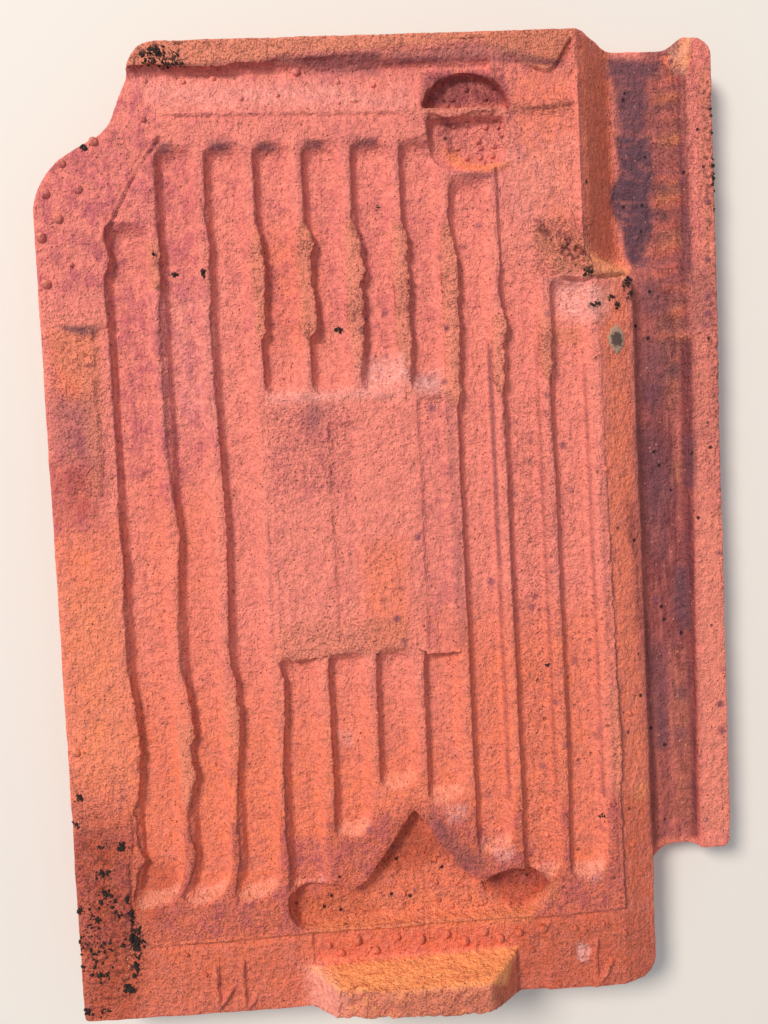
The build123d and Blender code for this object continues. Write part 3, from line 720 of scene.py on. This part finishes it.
paintAreas["umber"] = 0.0, [
    ([(-142, -146), (-112, -150), (-104, -205), (-112, -245), (-142, -245)], 16, 0.9),
    ([(-110, -206), (-30, -206), (-40, -245), (-112, -245)], 8, 0.35),
    ([(62, -206), (130, -204), (132, -245), (62, -245)], 5, 0.6),
    (box(116, 130, -150, -235), 5, 0.5),
    ([(-137, 16), (-116, 14), (-117, -12), (-136, -10)], 9, 0.6),
    # painted shade on the roll lip's inner wall
    ([(150.5, 60), (156, 60), (154, -60), (151.5, -172), (147.5, -172), (148, -60)], 1.5, 0.8),
    ([(-108, -165), (-90, -170), (-96, -196), (-112, -200)], 5, 0.7),
    # painted shade at the crown's peak, over brown clay
    ([(18, -150), (34, -172), (10, -180), (-2, -176)], 6, 0.9),
    ([(-38, -186), (-8, -186), (0, -200), (-38, -202)], 4, 0.6),
    # painted shade in the right lobe's hollow, over brown clay
    ([(50, -184), (80, -183), (82, -192), (65, -201), (50, -190)], 2.5, 0.9),
    ([(66, 202), (108, 202), (104, 190), (94, 182), (82, 190), (70, 194)], 3, 1.0),
    ([(108, 202), (122, 190), (116, 180), (109, 180)], 4, 0.4),
    ([(108, 186), (122, 186), (123, 98), (109, 104)], 2, 0.45),
    ([(-32, -208), (70, -207), (70, -218), (-32, -218)], 3, 0.3),
    ([(6, -237), (58, -237), (56, -252), (6, -252)], 3, 0.7),
]
paintAreas["torn"] = 0.0, [
    ([(-96, 202), (70, 203), (70, 197.5), (20, 194.5), (-27, 193), (-30, 190.5), (-60, 189), (-95, 190)],
     0.8, 0.9),
    (lipSheet, 0.8, 0.8),
    ([(86, 113), (91, 116), (97, 108), (110, 108), (112, 92), (97, 90), (92, 97), (87, 103)], 3, 0.8),
    ([(-133, 77), (-112, 77), (-113, 30), (-118, 0), (-122, 50), (-131, 60)], 3, 0.6),
    ([(-19, -234), (0, -236), (52, -236), (56, -252), (-22, -254)], 1.0, 0.6),
    ([(-90, 114), (-84, 112), (-84, 92), (-88, 92)], 2, 0.7),
    ([(-88, -104), (-80, -106), (-80, -140), (-87, -142)], 2, 0.7),
    ([(-66, -90), (-59, -92), (-59, -118), (-64, -116)], 2, 0.5),
    ([(91, 67), (106, 68), (106, 59), (91, 60)], 1.5, 0.7),
    ([(157, 90), (168, 90), (168, -170), (156, -170)], 4, 0.35),
    ([(163, 185), (169, 180), (169, 90), (163, 92)], 1.5, 0.5),
    ([(-40, -60), (20, -62), (20, -78), (-40, -78)], 2, 0.4),
    ([(36, 169), (72, 168), (72, 164), (36, 164)], 1, 0.35),
    (box(74, 106, 168, 164), 1.5, 0.3),
]
# Painted shade in hollows, cracks, under edges and on walls turned from the lamp; in the channel also the
# clay's dark red-brown skin
paintAreas["shade_and_skin"] = 0.0, [
    ([(124, 186), (157, 182), (157, 96), (130, 92)], 3, 0.50),
    ([(129, 92), (157, 96), (157, 20), (129, 20)], 3, 0.7),
    ([(129, 46), (146, 40), (150, 0), (152, -40), (150, -96), (129, -90)], 6, 0.95),
    ([(128, -60), (141, -60), (141, -172), (129, -175)], 3, 0.8),
    ([(139, 10), (156, 20), (154, -60), (153, -172), (139, -172)], 3, 0.7),
    # painted shade on the roll lip's inner wall, over purple-brown skin
    ([(150.5, 60), (157, 60), (154, -60), (151.5, -172), (148.5, -172), (149, -60)], 1.0, 1.0),
    (box(153, 157.5, 182, 90), 1.0, 0.9),
    ([(123, -14), (129, -12), (129, -80), (125, -70), (126, -40), (123, -30)], 1.5, 0.7),
    # painted shadow under the nose lip, purple-tinted at the right
    ([(20, 190), (104, 187), (100, 184), (60, 188.5), (20, 186)], 1.5, 0.9),
    ([(-95, 189), (20, 193), (20, 187), (-92, 186)], 1.5, 0.5),
    # painted shade inside the clip pocket's dome
    ([(38, 182), (74, 181), (75, 168), (38, 168)], 2, 0.8),
    ([(62, 60), (64, 60), (64.4, -150), (62.4, -150)], 0.8, 0.6),
    ([(83.6, 60), (85.2, 60), (86.4, -150), (84.6, -150)], 0.8, 0.5),
    ([(105.4, 50), (107, 50), (108.4, -150), (106.6, -150)], 0.8, 0.5),
    ([(111.5, 0), (113, 0), (114, -190), (112, -190)], 0.9, 0.5),
    # painted shade in the crown's right lobe hollow
    ([(50, -184), (78, -183), (80, -190), (50, -189)], 1.5, 0.4),
    # painted shadow under the lower pocket's rim
    ([(52, 139), (58, 137.8), (70, 137.8), (70, 135.6), (60, 135), (53, 137)], 0.8, 0.7),
    # painted shade on the lower pocket's left wall
    ([(46, 162), (50, 162), (51, 146), (47.5, 148)], 1.5, 0.6),
    # painted shade in the crack along the pocket ledge
    ([(75, 167), (80, 167.6), (86, 166.6), (106, 168), (106, 166.8), (84, 164.8), (75, 165.2)], 1.2, 0.5),
]
paintAreas["stain_and_shade"] = 0.0, [
    ([(122, 187), (147, 185), (146, 177), (128, 175), (122, 178)], 2.5, 0.9),
    ([(124, 178), (126, 150), (138, 152), (141, 162), (140, 178)], 3, 0.9),
    ([(124, 152), (140, 152), (142, 134), (139, 124), (141, 112), (138, 103), (132, 92), (127, 98),
      (125.5, 110), (120.5, 121), (121.5, 129), (126, 135)], 1.6, 1.0),
    ([(139, 165), (153, 168), (153, 162), (140, 161)], 2, 0.6),
    ([(140, 158), (156, 160), (156, 154), (140, 154)], 2, 0.5),
    ([(138, 148), (150, 149), (148, 143), (138, 143)], 2, 0.6),
    ([(139, 141), (156, 142), (156, 136), (139, 136)], 2, 0.5),
    ([(138, 130), (148, 131), (147, 126), (138, 126)], 2, 0.8),
    ([(138, 119), (149, 119), (148, 113), (138, 113)], 2, 0.8),
    ([(150, 120), (157, 118), (157, 84), (151, 84)], 2, 0.5),
    ([(131, 99), (138, 98), (138, 92), (131, 92)], 2, 0.8),
    ([(132, 88), (142, 86), (146, 70), (134, 72)], 3, 0.6),
    ([(133, 60), (147, 60), (146, 40), (138, 24), (131, 34)], 4, 0.6),
    ([(144, 50), (150, 49), (150, 42), (144, 42)], 2, 0.8),
    ([(130, 20), (141, 18), (145, 0), (146, -12), (140, -24), (131, -24)], 5, 0.6),
    ([(132, -18), (143, -18), (142, -42), (133, -40)], 3, 0.4),
    ([(145, -44), (151, -44), (152, -74), (146, -76), (143, -60)], 2, 0.8),
    ([(150, 16), (157, 16), (156, -8), (150, -8)], 2, 0.6),
    ([(130, -80), (140, -80), (140, -124), (132, -128)], 4, 0.5),
    ([(142, -100), (148, -101), (148, -108), (142, -106)], 2, 0.7),
    (box(143, 149, -120, -126), 2, 0.6),
    ([(133, -110), (139, -110), (138, -130), (134, -130)], 2, 0.7),
    ([(158, 95), (168, 90), (168, 66), (158, 64)], 3, 0.3),
    ([(150, 60), (154, 60), (152, -60), (149.5, -172), (146.5, -172), (147, -60)], 1.5, 0.25),
    ([(-129, 77), (-112, 77), (-113, 72), (-124, 74)], 1.5, 0.8),
    ([(-135, 45), (-118, 45), (-118, 15), (-133, 18)], 7, 0.35),
    ([(20, 192), (70, 195), (100, 186), (70, 188), (30, 188)], 2, 0.5),
    ([(-30, 192), (20, 193), (20, 182), (-8, 184)], 3, 0.5),
    (box(-80, -74, 155.5, 151.5), 2.2, 0.9),
    (box(-58, -50, 155.5, 151.5), 2.2, 0.9),
    (box(-37, -29, 154.5, 151), 2.2, 0.9),
    (box(-16, -8, 155, 151), 2.2, 0.7),
    (box(7, 16, 155, 151), 2.2, 0.7),
    ([(-20, 40), (-10, 36), (-18, 24), (-22, 28)], 4, 0.5),
    ([(29, 48), (40, 48), (38, 41), (30, 42)], 3, 0.8),
    ([(26, -150), (40, -168), (48, -174), (52, -180), (40, -182), (28, -166)], 3, 0.5),
    ([(62, 60), (64, 60), (64.4, -40), (62.4, -40)], 0.8, 0.4),
    ([(42, 40), (45, 40), (47, -76), (43, -76)], 1.0, 0.3),
]
paintAreas["bloom_and_highlight"] = 0.0, [
    ([(93, 89), (106, 89), (120, 82), (116, 72), (104, 70), (95, 74)], 5, 0.9),
    ([(5, 56), (24, 58), (28, 41), (40, 41), (40, 50), (27, 47), (5, 40)], 4, 0.8),
    ([(-38, 44), (22, 43), (22, 39), (-38, 39)], 2.5, 0.5),
    ([(-36, -221), (-27, -221), (-17, -238), (-20, -250), (-34, -240)], 4, 0.6),
    ([(-90, 184), (-60, 182), (0, 180), (20, 172), (30, 178), (30, 168), (-80, 172)], 6, 0.4),
    ([(92, -219), (97, -220), (99, -223), (96, -229), (92, -227)], 0.6, 1.0),
    ([(149, 190), (161, 196), (158, 178), (151, 180)], 1.2, 0.45),
    # painted highlights on three groove feet that face the lamp
    ([(97, -181), (107, -181), (105, -191), (98, -190)], 2, 0.5),
    ([(54, -171), (66, -171), (63, -178), (56, -178)], 1.5, 0.6),
    ([(33, -150), (44, -150), (42, -158), (34, -158)], 1.5, 0.5),
    ([(72, 152), (106, 152), (104, 120), (80, 120)], 14, 0.3),
    (box(-84, -60, 30, 90), 14, 0.25),
    ([(-16, -112), (-8, -112), (-8, -119), (-12, -119)], 2, 0.5),
]
paintAreas["dirt"] = 0.0, [
    ([(-139, -120), (-126, -140), (-112, -170), (-108, -205), (-112, -232), (-139, -240)], 6, 0.5),
    ([(-118, -186), (-112, -192), (-106, -205), (-112, -232), (-122, -228), (-116, -205)], 3, 0.9),
    ([(-92, 190), (-84, 199), (-68, 200), (-66, 190), (-76, 188)], 3, 0.9),
    ([(164, 175), (171, 180), (171, -60), (166, -60)], 2, 0.5),
    ([(108, 95), (112, 95), (113, 89), (107, 90)], 1.5, 0.9),
    ([(124, 90), (129, 90), (130, 78), (126, 78)], 1.5, 0.9),
    ([(106, 80), (115, 79), (115, 74), (108, 74)], 2, 0.6),
]
paintAreas["holed"] = 0.0, [
    ([(120, 188), (168, 190), (168, -170), (118, -170)], 5, 1.0),
    ([(108, 196), (122, 190), (122, 92), (108, 96)], 3, 0.9),
    ([(-38, -188), (18, -150), (48, -184), (84, -184), (82, -200), (-38, -204)], 3, 1.0),
    ([(38, 183), (76, 183), (76, 142), (40, 142)], 2, 0.8),
    (box(70, 128, 80, -200), 10, 0.5),
]
paintAreas["spotted"] = 0.20, [
    ([(0, 70), (66, 130), (70, -60), (0, -80)], 14, 1.0),
    ([(66, 90), (110, 80), (110, -200), (66, -200)], 12, 0.7),
    ([(-20, -150), (80, -150), (80, -200), (-30, -200)], 8, 1.0),
    ([(124, 190), (170, 190), (170, -170), (128, -170)], 6, 1.0),
]
paintAreas["rough"] = 0.25, [
    ([(-108, -188), (-44, -178), (-40, -160), (-8, -160), (19, -140), (48, -160), (116, -190), (116, -206),
      (-112, -206)], 6, 0.8),
    ([(-96, 202), (108, 203), (106, 180), (70, 194), (-30, 190), (-95, 189)], 1, 1.0),
    (box(70, 92, 40, -190), 4, 0.7),
    (box(36, 80, 184, 146), 2, 0.9),
    (box(84, 112, 118, 90), 3, 1.6),
    (box(74, 106, 170, 163), 2, 1.4),
    (box(140, 170, 190, 0), 5, 0.8),
    (box(-140, -108, -120, -242), 8, 0.8),
    ([(-140, 84), (-110, 84), (-110, 0), (-130, 0)], 5, 0.8),
    (box(-112, -34, -208, -242), 4, 0.6),
    (box(66, 130, -208, -242), 4, 0.7),
    (box(-40, 0, 38, 0), 4, 0.8),
    (box(-40, 20, -60, -78), 3, 0.9),
    ([(-20, -234), (58, -236), (58, -254), (-22, -254)], 2, 0.9),
]


# Where the thin smeared sheets lie
def smearShare(x, y, z):
    share = np.zeros(len(x))
    for number, line in smearLines.items():
        low, high = min(p[0] for p in line), max(p[0] for p in line)
        ends = softSpan(y, low - 1, low + 1, high - 1, high + 1)
        left, right = lineAt(line, y), lineAt(edgeLines[number], y)
        across = softSpan(x, left - 0.6, left + 0.6, right + 0.4, right + 1.4)
        share = np.maximum(share, ends * across * (z > 28.2))
    return share


def paintTile(tile):
    points, normals = readPoints(tile), readNormals(tile)
    x, y = seenPlaces(points)
    z = points[:, 2]
    rightward, noseward = normals[:, 0], normals[:, 1]
    upper = (normals[:, 2] > -0.25) & (z > 6)
    # fold crests get painted highlight, the valleys painted shade
    crest, folded = foldHeights(x, y)
    valley = folded * (crest < 0.2)
    land = softStep(z, 28.7, 29.5) * softStep(-y, 142, 158)
    land = land * (1 - softStep(x, 114, 118)) * (1 - softStep(-y, 204, 207))
    # groove feet that face the nose, where the lamp falls: for painted highlight
    foot = softStep(noseward, 0.2, 0.4) * (z > 25) * (1 - softStep(z, 29, 29.8)) * softStep(-y, 128, 140)
    foot *= (y > -200) * (x < 112)
    smear = smearShare(x, y, z)
    nib = softStep(z, 30.6, 33)
    # faces turned right, away from the lamp: for painted shade
    wall = softStep(rightward, 0.3, 0.6)
    # crevices between the scar's crumbs: for painted shade
    gaps = areaMask(x, y, tornAreas["scar"][0], 2) * softStep(-crumbHeights(x, y, 0), 0.0, 0.2)
    byShape = {
        # painted highlight: fold crests and groove feet that face the lamp get orange
        "warm": 0.9 * crest + 0.7 * foot,
        "mauve": 0.8 * land,
        # painted shade: the nib's faces turned right, away from the lamp, get umber
        "umber": np.maximum(0.30 * land, 0.8 * nib * wall),
        # painted highlight: nib faces turned to the nose and lamp, and the groove feet, get bright orange
        "flashed_and_lit": np.maximum(nib * (0.1 + 0.9 * softStep(noseward, 0.1, 0.4)), 0.18 * foot),
        # painted highlight on the groove feet
        "bloom_and_highlight": 0.3 * foot,
        "torn": 0.6 * smear,
        # painted shade: falling walls turned from the lamp, fold valleys and the crevices of the scar
        "shade_and_skin": 0.5 * wall * softStep(z, 27.2, 28.4) * (z < 30.5) + 0.5 * folded * (crest < 0.35) + gaps,
        # purple in the fold valleys, partly painted shade
        "stain_and_shade": 0.45 * valley * (x > 138),
        "rough": np.maximum(np.maximum(0.9 * land, folded),
                            smear * (0.5 + 0.8 * softStep(valueNoise(x, y, 9.0, 85), 0.1, 0.4))),
    }
    for name, (everywhere, patches) in paintAreas.items():
        values = np.full(len(points), everywhere)
        for corners, soft, strength in patches:
            values = np.maximum(values, strength * areaMask(x, y, corners, soft))
        if name in byShape:
            values = np.maximum(values, byShape[name])
        layer = tile.data.attributes.new(name, "FLOAT", "POINT")
        layer.data.foreach_set("value", np.where(upper, values, everywhere).astype(np.float32))


clayColours = {
    "body": "#f48e80",        # salmon
    "warm": "#f47f56",        # orange; also painted highlight on the fold crests and the groove feet that face the lamp
    "flashed_and_lit": "#ffa468",     # bright orange, where the flame touched it; also painted highlight on the nib's front and the groove feet, which face the lamp
    "mauve": "#c9666c",
    # umber: dark orange-brown; also painted shade on the nib's right end, the lip's inner wall, the crown's
    # peak and the right lobe's hollow
    "umber": "#b64c30",
    "torn": "#ea8c70",        # broken clay, sandier
    "shade_and_skin": "#803c40",        # red-brown skin in the channel, and painted shade in hollows, cracks, under edges and on walls turned from the lamp
    "stain_and_shade": "#65424f",       # purple where the fire was short of air; in the fold valleys it also stands for painted shade
    "bloom_and_highlight": "#f9b4ac",       # salts; also painted highlight on the groove feet that face the lamp
    "spot": "#8a4c5c",
    "hole": "#3c1f24",
    "crumb": "#ffab92",
    "grit": "#63291f",
    "dirt": "#2b1d18",
}

# Layers of colour, lowest first: the noise that breaks each up, where it starts and ends, and its least share
clayLayers = [
    ("warm", "mottle", 0.30, 0.70, 0.6),
    ("mauve", "blotch", 0.44, 0.62, 0.3),
    ("umber", "mottle", 0.25, 0.65, 0.5),
    ("flashed_and_lit", "mottle", 0.20, 0.60, 0.75),
    ("torn", "blotch", 0.30, 0.50, 0.7),
    ("shade_and_skin", "streaks", 0.25, 0.60, 0.5),
    ("stain_and_shade", "bands", 0.34, 0.50, 0.7),
    ("bloom_and_highlight", "fleck", 0.30, 0.75, 0.3),
    ("dirt", "fleck", 0.50, 0.58, 0.0),
]

# Noises: size in mm, octaves and how much they are drawn out
clayNoises = {
    "mottle": (6.5, 2.0, (1, 1, 1)),
    "blotch": (4.6, 3.0, (1, 0.7, 1)),
    "fleck": (2.4, 3.0, (1, 1, 1)),
    "grain": (0.9, 2.0, (1, 1, 1)),
    "streaks": (2.6, 3.0, (1, 0.14, 1)),     # along the channel
    "bands": (4.2, 3.0, (0.45, 1, 1)),       # across it
}

# Specks: size of their cells in mm, inner and outer edge and lowest lot as shares, strength of the colour
claySpecks = {
    "spot": (9.0, 0.12, 0.28, 0.60, 0.8),       # soft purple, 2 to 5 mm wide, around grains of iron
    "grit": (3.2, 0.06, 0.17, 0.45, 0.75),      # dark, under 1 mm
    "hole": (8.0, 0.07, 0.13, 0.45, 1.0),       # round, 1 to 2 mm
    "crumb": (4.3, 0.05, 0.17, 0.30, 0.5),
}
speckMasks = {"spot": "spotted", "hole": "holed"}

# Small dark pits: how much closer together on rough parts, where they start and end, strength of the colour
clayPits = (0.07, 0.64, 0.71, 0.55)

# A little darker and lighter all over
clayTones = {"mottle": (0.93, 1.09), "fleck": (0.88, 1.18), "grain": (0.82, 1.22)}


def makeClay():
    # Unglazed terracotta, pressed in a plaster mould: matt and sandy, with fine pits and
    # pressed-in grit, and colour that drifts from salmon to orange and purple with the fire.
    # Some colour layers also hold painted shade and painted highlight.
    clay = bpy.data.materials.new("terracotta_pressed")
    clay.use_nodes = True
    tree = clay.node_tree
    shader = tree.nodes["Principled BSDF"]
    place = addNode(tree, "TexCoord").outputs["Object"]
    masks = {name: addNode(tree, "Attribute", attribute_name=name).outputs["Fac"] for name in paintAreas}
    noise = {}
    for name, (size, octaves, stretch) in clayNoises.items():
        where = place
        if stretch != (1, 1, 1):
            where = addNode(tree, "Mapping", {"Vector": place, "Scale": stretch}).outputs["Vector"]
        noise[name] = addNode(tree, "TexNoise", {"Vector": where, "Scale": 1 / (size * mm), "Detail": octaves,
                                                 "Roughness": 0.6}).outputs["Fac"]

    colour = toLinear(clayColours["body"])
    for name, pattern, start, stop, least in clayLayers:
        cover = addNode(tree, "MapRange", {"Value": noise[pattern], "From Min": start, "From Max": stop,
                                           "To Min": least, "To Max": 1.0}).outputs["Result"]
        share = addNode(tree, "Math", {0: cover, 1: masks[name]}, operation="MULTIPLY",
                        use_clamp=True).outputs[0]
        colour = addNode(tree, "Mix", {0: share, 6: colour, 7: toLinear(clayColours[name])},
                         data_type="RGBA").outputs[2]

    specks = {}
    for name, (size, inner, outer, fewest, strength) in claySpecks.items():
        cells = addNode(tree, "TexVoronoi", {"Vector": place, "Scale": 1 / (size * mm), "Randomness": 1.0},
                        feature="F1")
        dot = addNode(tree, "MapRange", {
            "Value": cells.outputs["Distance"], "From Min": inner, "From Max": outer,
            "To Min": strength, "To Max": 0.0}).outputs["Result"]
        lot = addNode(tree, "SeparateColor", {"Color": cells.outputs["Color"]}).outputs[0]
        chosen = addNode(tree, "Math", {0: lot, 1: fewest}, operation="GREATER_THAN").outputs[0]
        specks[name] = addNode(tree, "Math", {0: dot, 1: chosen}, operation="MULTIPLY",
                               use_clamp=True).outputs[0]
        if name in speckMasks:
            mask = masks[speckMasks[name]]
            specks[name] = addNode(tree, "Math", {0: specks[name], 1: mask}, operation="MULTIPLY").outputs[0]
        colour = addNode(tree, "Mix", {0: specks[name], 6: colour, 7: toLinear(clayColours[name])},
                         data_type="RGBA").outputs[2]

    closer, start, stop, strength = clayPits
    wear = addNode(tree, "Math", {0: masks["rough"], 1: closer, 2: noise["grain"]},
                   operation="MULTIPLY_ADD").outputs[0]
    specks["pits"] = addNode(tree, "MapRange", {"Value": wear, "From Min": start,
                                                "From Max": stop}).outputs["Result"]
    share = addNode(tree, "Math", {0: specks["pits"], 1: strength}, operation="MULTIPLY").outputs[0]
    colour = addNode(tree, "Mix", {0: share, 6: colour, 7: toLinear(clayColours["grit"])},
                     data_type="RGBA").outputs[2]

    for pattern, (low, high) in clayTones.items():
        tone = addNode(tree, "MapRange", {"Value": noise[pattern], "From Min": 0.3, "From Max": 0.7,
                                          "To Min": low, "To Max": high})
        colour = addNode(tree, "VectorMath", {0: colour, 1: tone.outputs["Result"]},
                         operation="MULTIPLY").outputs[0]
    tree.links.new(colour, shader.inputs["Base Color"])
    shader.inputs["Roughness"].default_value = 0.88
    shader.inputs["IOR"].default_value = 1.5

    # relief in mm: small lumps, sand grain, pits at the grit and creased crumbs on the torn parts
    crease = addNode(tree, "Math", {0: noise["fleck"], 1: 0.5}, operation="SUBTRACT").outputs[0]
    crease = addNode(tree, "Math", {0: crease}, operation="ABSOLUTE").outputs[0]
    height = addNode(tree, "Math", {0: crease, 1: masks["torn"]}, operation="MULTIPLY").outputs[0]
    height = addNode(tree, "Math", {0: height, 1: 3.0}, operation="MULTIPLY").outputs[0]
    lumpy = addNode(tree, "Math", {0: masks["rough"], 1: 1.2, 2: 1.2}, operation="MULTIPLY_ADD").outputs[0]
    for pattern, depth in ((noise["blotch"], 2.2), (noise["fleck"], lumpy), (noise["grain"], 0.65),
                           (noise["streaks"], 0.6), (specks["grit"], -0.5), (specks["pits"], -0.6),
                           (specks["hole"], -1.2), (specks["crumb"], 0.9)):
        height = addNode(tree, "Math", {0: pattern, 1: depth, 2: height}, operation="MULTIPLY_ADD").outputs[0]
    bump = addNode(tree, "Bump", {"Height": height, "Strength": 1.0, "Distance": mm})
    tree.links.new(bump.outputs["Normal"], shader.inputs["Normal"])
    return clay


soil = {
    "colour": "#1f1613",
    "lighter": 3.2,             # times as bright where the grains are dry
    "crumbsPerUnit": 3.6,
    # place, spread and units of crumbs
    "heaps": [
        ((-112, -204), (3.2, 4.2), 34), ((-113, -193), (1.2, 3.5), 12), ((-115, -184), (0.8, 2.0), 6),
        ((-112, -216), (1.5, 4.5), 12), ((-116, -226), (2.5, 2.2), 12), ((-124, -182), (3.0, 2.4), 12),
        ((-116, -159), (3.0, 2.0), 8), ((-125, -159), (2.6, 1.0), 5), ((-136, -148), (2.4, 1.4), 6),
        ((-134, -136), (1.5, 1.2), 4), ((-129, -219), (4.0, 1.4), 9), ((-135, -236), (2.5, 1.6), 7),
        ((-128, -236), (2.5, 1.6), 6), ((-136, -188), (1.4, 2.2), 7), ((-137, -207), (1.0, 4.0), 6),
        ((-126, -172), (5.0, 1.5), 7), ((-119, -191), (3.0, 3.0), 6), ((-130, -200), (7.0, 24.0), 30),
        ((-80, 195), (6.5, 3.4), 26), ((-72, 190), (4.0, 1.2), 9), ((-113, 155), (1.3, 1.6), 6),
        ((-85, 107), (1.2, 1.2), 3), ((-77, 98), (1.6, 1.0), 4), ((-64, 98), (1.0, 1.6), 3),
        ((110, 92), (1.8, 1.6), 8), ((120, 80), (1.4, 1.2), 7), ((122.5, 77), (1.1, 1.0), 6),
        ((127.5, 86.5), (1.4, 2.0), 8), ((129, 81), (0.9, 1.0), 4), ((113, 77), (2.2, 1.2), 5),
        ((-4.5, 70), (2.0, 1.4), 6), ((15.5, 124), (0.8, 1.2), 3), ((169, 130), (0.6, 14.0), 10),
        ((169, 160), (0.6, 8.0), 6), ((106, -159.5), (1.0, 1.0), 3), ((84, -87), (1.3, 0.5), 3),
    ],
}


def makeSoil(tile):
    dice = random.Random(11)
    earth = bpy.data.materials.new("damp_soil")          # loose earth: near black, crumbly
    earth.use_nodes = True
    tree = earth.node_tree
    shader = tree.nodes["Principled BSDF"]
    place = addNode(tree, "TexCoord").outputs["Object"]
    grains = addNode(tree, "TexNoise", {"Vector": place, "Scale": 1 / (0.8 * mm),
                                        "Detail": 3.0}).outputs["Fac"]
    lighter = [c * soil["lighter"] for c in toLinear(soil["colour"])[:3]] + [1.0]
    colour = addNode(tree, "Mix", {0: grains, 6: toLinear(soil["colour"]), 7: lighter},
                     data_type="RGBA").outputs[2]
    tree.links.new(colour, shader.inputs["Base Color"])
    bump = addNode(tree, "Bump", {"Height": grains, "Strength": 0.8, "Distance": 0.4 * mm}).outputs["Normal"]
    tree.links.new(bump, shader.inputs["Normal"])
    shader.inputs["Roughness"].default_value = 0.95

    bpy.ops.object.select_all(action="DESELECT")
    bpy.ops.mesh.primitive_ico_sphere_add(subdivisions=2, radius=mm)
    crumb = bpy.context.object
    crumb.name = "soil_crumbs"
    for vertex in crumb.data.vertices:
        vertex.co *= dice.uniform(0.6, 1.3)
    copies = []
    for (x, y), (wide, long), number in soil["heaps"]:
        for _ in range(int(number * soil["crumbsPerUnit"])):
            spot = seenPoint(tile, x + dice.gauss(0, 0.55) * wide, y + dice.gauss(0, 0.55) * long)
            if spot.z < 5 * mm:          # beside the tile
                continue
            size = 0.2 + 0.8 * dice.random() ** 2.5
            other = crumb.copy()
            other.data = crumb.data.copy()
            bpy.context.scene.collection.objects.link(other)
            other.location = spot + Vector((0, 0, 0.05 * size * mm))
            other.rotation_euler = [dice.uniform(-0.4, 0.4), dice.uniform(-0.4, 0.4), dice.uniform(0, 6)]
            other.scale = (size * dice.uniform(0.6, 1.9), size * dice.uniform(0.6, 1.1),
                           size * dice.uniform(0.4, 0.8))
            copies.append(other)
    first = copies[0]
    bpy.data.objects.remove(crumb)
    first.name = "soil_crumbs"
    selectOnly(first)
    for other in copies:
        other.select_set(True)
    bpy.ops.object.transform_apply(location=True, rotation=True, scale=True)
    bpy.ops.object.join()
    first.data.materials.append(earth)
    bpy.ops.object.shade_smooth()
    keepInBox(first)
    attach(first, "root")
    print("soil crumbs", len(copies), "faces", len(first.data.polygons))


lichen = {
    "place": (121.3, 61),
    "reach": (4.6, 6.6, 0.7),                # half width, length and height, mm
    "spokes": 40,
    "rim": "#b3927c",
    "middle": "#5f4b45",
    "rimStart": (4.8, 6.0),                  # mm from the middle
    "slope": math.atan2(8.0, 20.0),          # of the shoulder that falls to the channel
}


def makeLichen(tile):
    crust = bpy.data.materials.new("crust_lichen")       # dry crust: pale rim, grey-brown middle
    crust.use_nodes = True
    tree = crust.node_tree
    shader = tree.nodes["Principled BSDF"]
    place = addNode(tree, "TexCoord").outputs["Object"]
    middle = seenPoint(tile, *lichen["place"])
    offset = addNode(tree, "VectorMath", {0: place, 1: middle}, operation="DISTANCE").outputs["Value"]
    wobble = addNode(tree, "TexNoise", {"Vector": place, "Scale": 1 / (1.6 * mm),
                                        "Detail": 3.0}).outputs["Fac"]
    shifted = addNode(tree, "Math", {0: wobble, 1: 0.004, 2: offset}, operation="MULTIPLY_ADD").outputs[0]
    share = addNode(tree, "MapRange", {"Value": shifted, "From Min": lichen["rimStart"][0] * mm,
                                       "From Max": lichen["rimStart"][1] * mm}).outputs["Result"]
    colour = addNode(tree, "Mix", {0: share, 6: toLinear(lichen["middle"]), 7: toLinear(lichen["rim"])},
                     data_type="RGBA").outputs[2]
    tree.links.new(colour, shader.inputs["Base Color"])
    bump = addNode(tree, "Bump", {"Height": wobble, "Strength": 0.8, "Distance": 0.5 * mm}).outputs["Normal"]
    tree.links.new(bump, shader.inputs["Normal"])
    shader.inputs["Roughness"].default_value = 0.95

    dice = random.Random(5)
    bpy.ops.object.select_all(action="DESELECT")
    bpy.ops.mesh.primitive_uv_sphere_add(segments=lichen["spokes"], ring_count=14, radius=mm, location=middle)
    patch = bpy.context.object
    patch.name = "lichen_crust"
    spokes = [dice.uniform(0.78, 1.12) for _ in range(lichen["spokes"])]
    for vertex in patch.data.vertices:
        turn = math.atan2(vertex.co.y, vertex.co.x)
        reach = spokes[round(turn / math.tau * len(spokes)) % len(spokes)]
        vertex.co.x *= lichen["reach"][0] * reach
        vertex.co.y *= lichen["reach"][1] * reach
        vertex.co.z *= lichen["reach"][2]
    bpy.ops.transform.rotate(value=-lichen["slope"], orient_axis="Y", center_override=middle)
    bpy.ops.object.transform_apply(location=True, rotation=True, scale=True)
    patch.data.materials.append(crust)
    bpy.ops.object.shade_smooth()
    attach(patch, "root")


makeCamera()
makeStudio()
clayTile = makeTile()
paintTile(clayTile)
clayTile.data.materials.append(makeClay())
makeSoil(clayTile)
makeLichen(clayTile)
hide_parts("roof_tile")
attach(clayTile, "root")
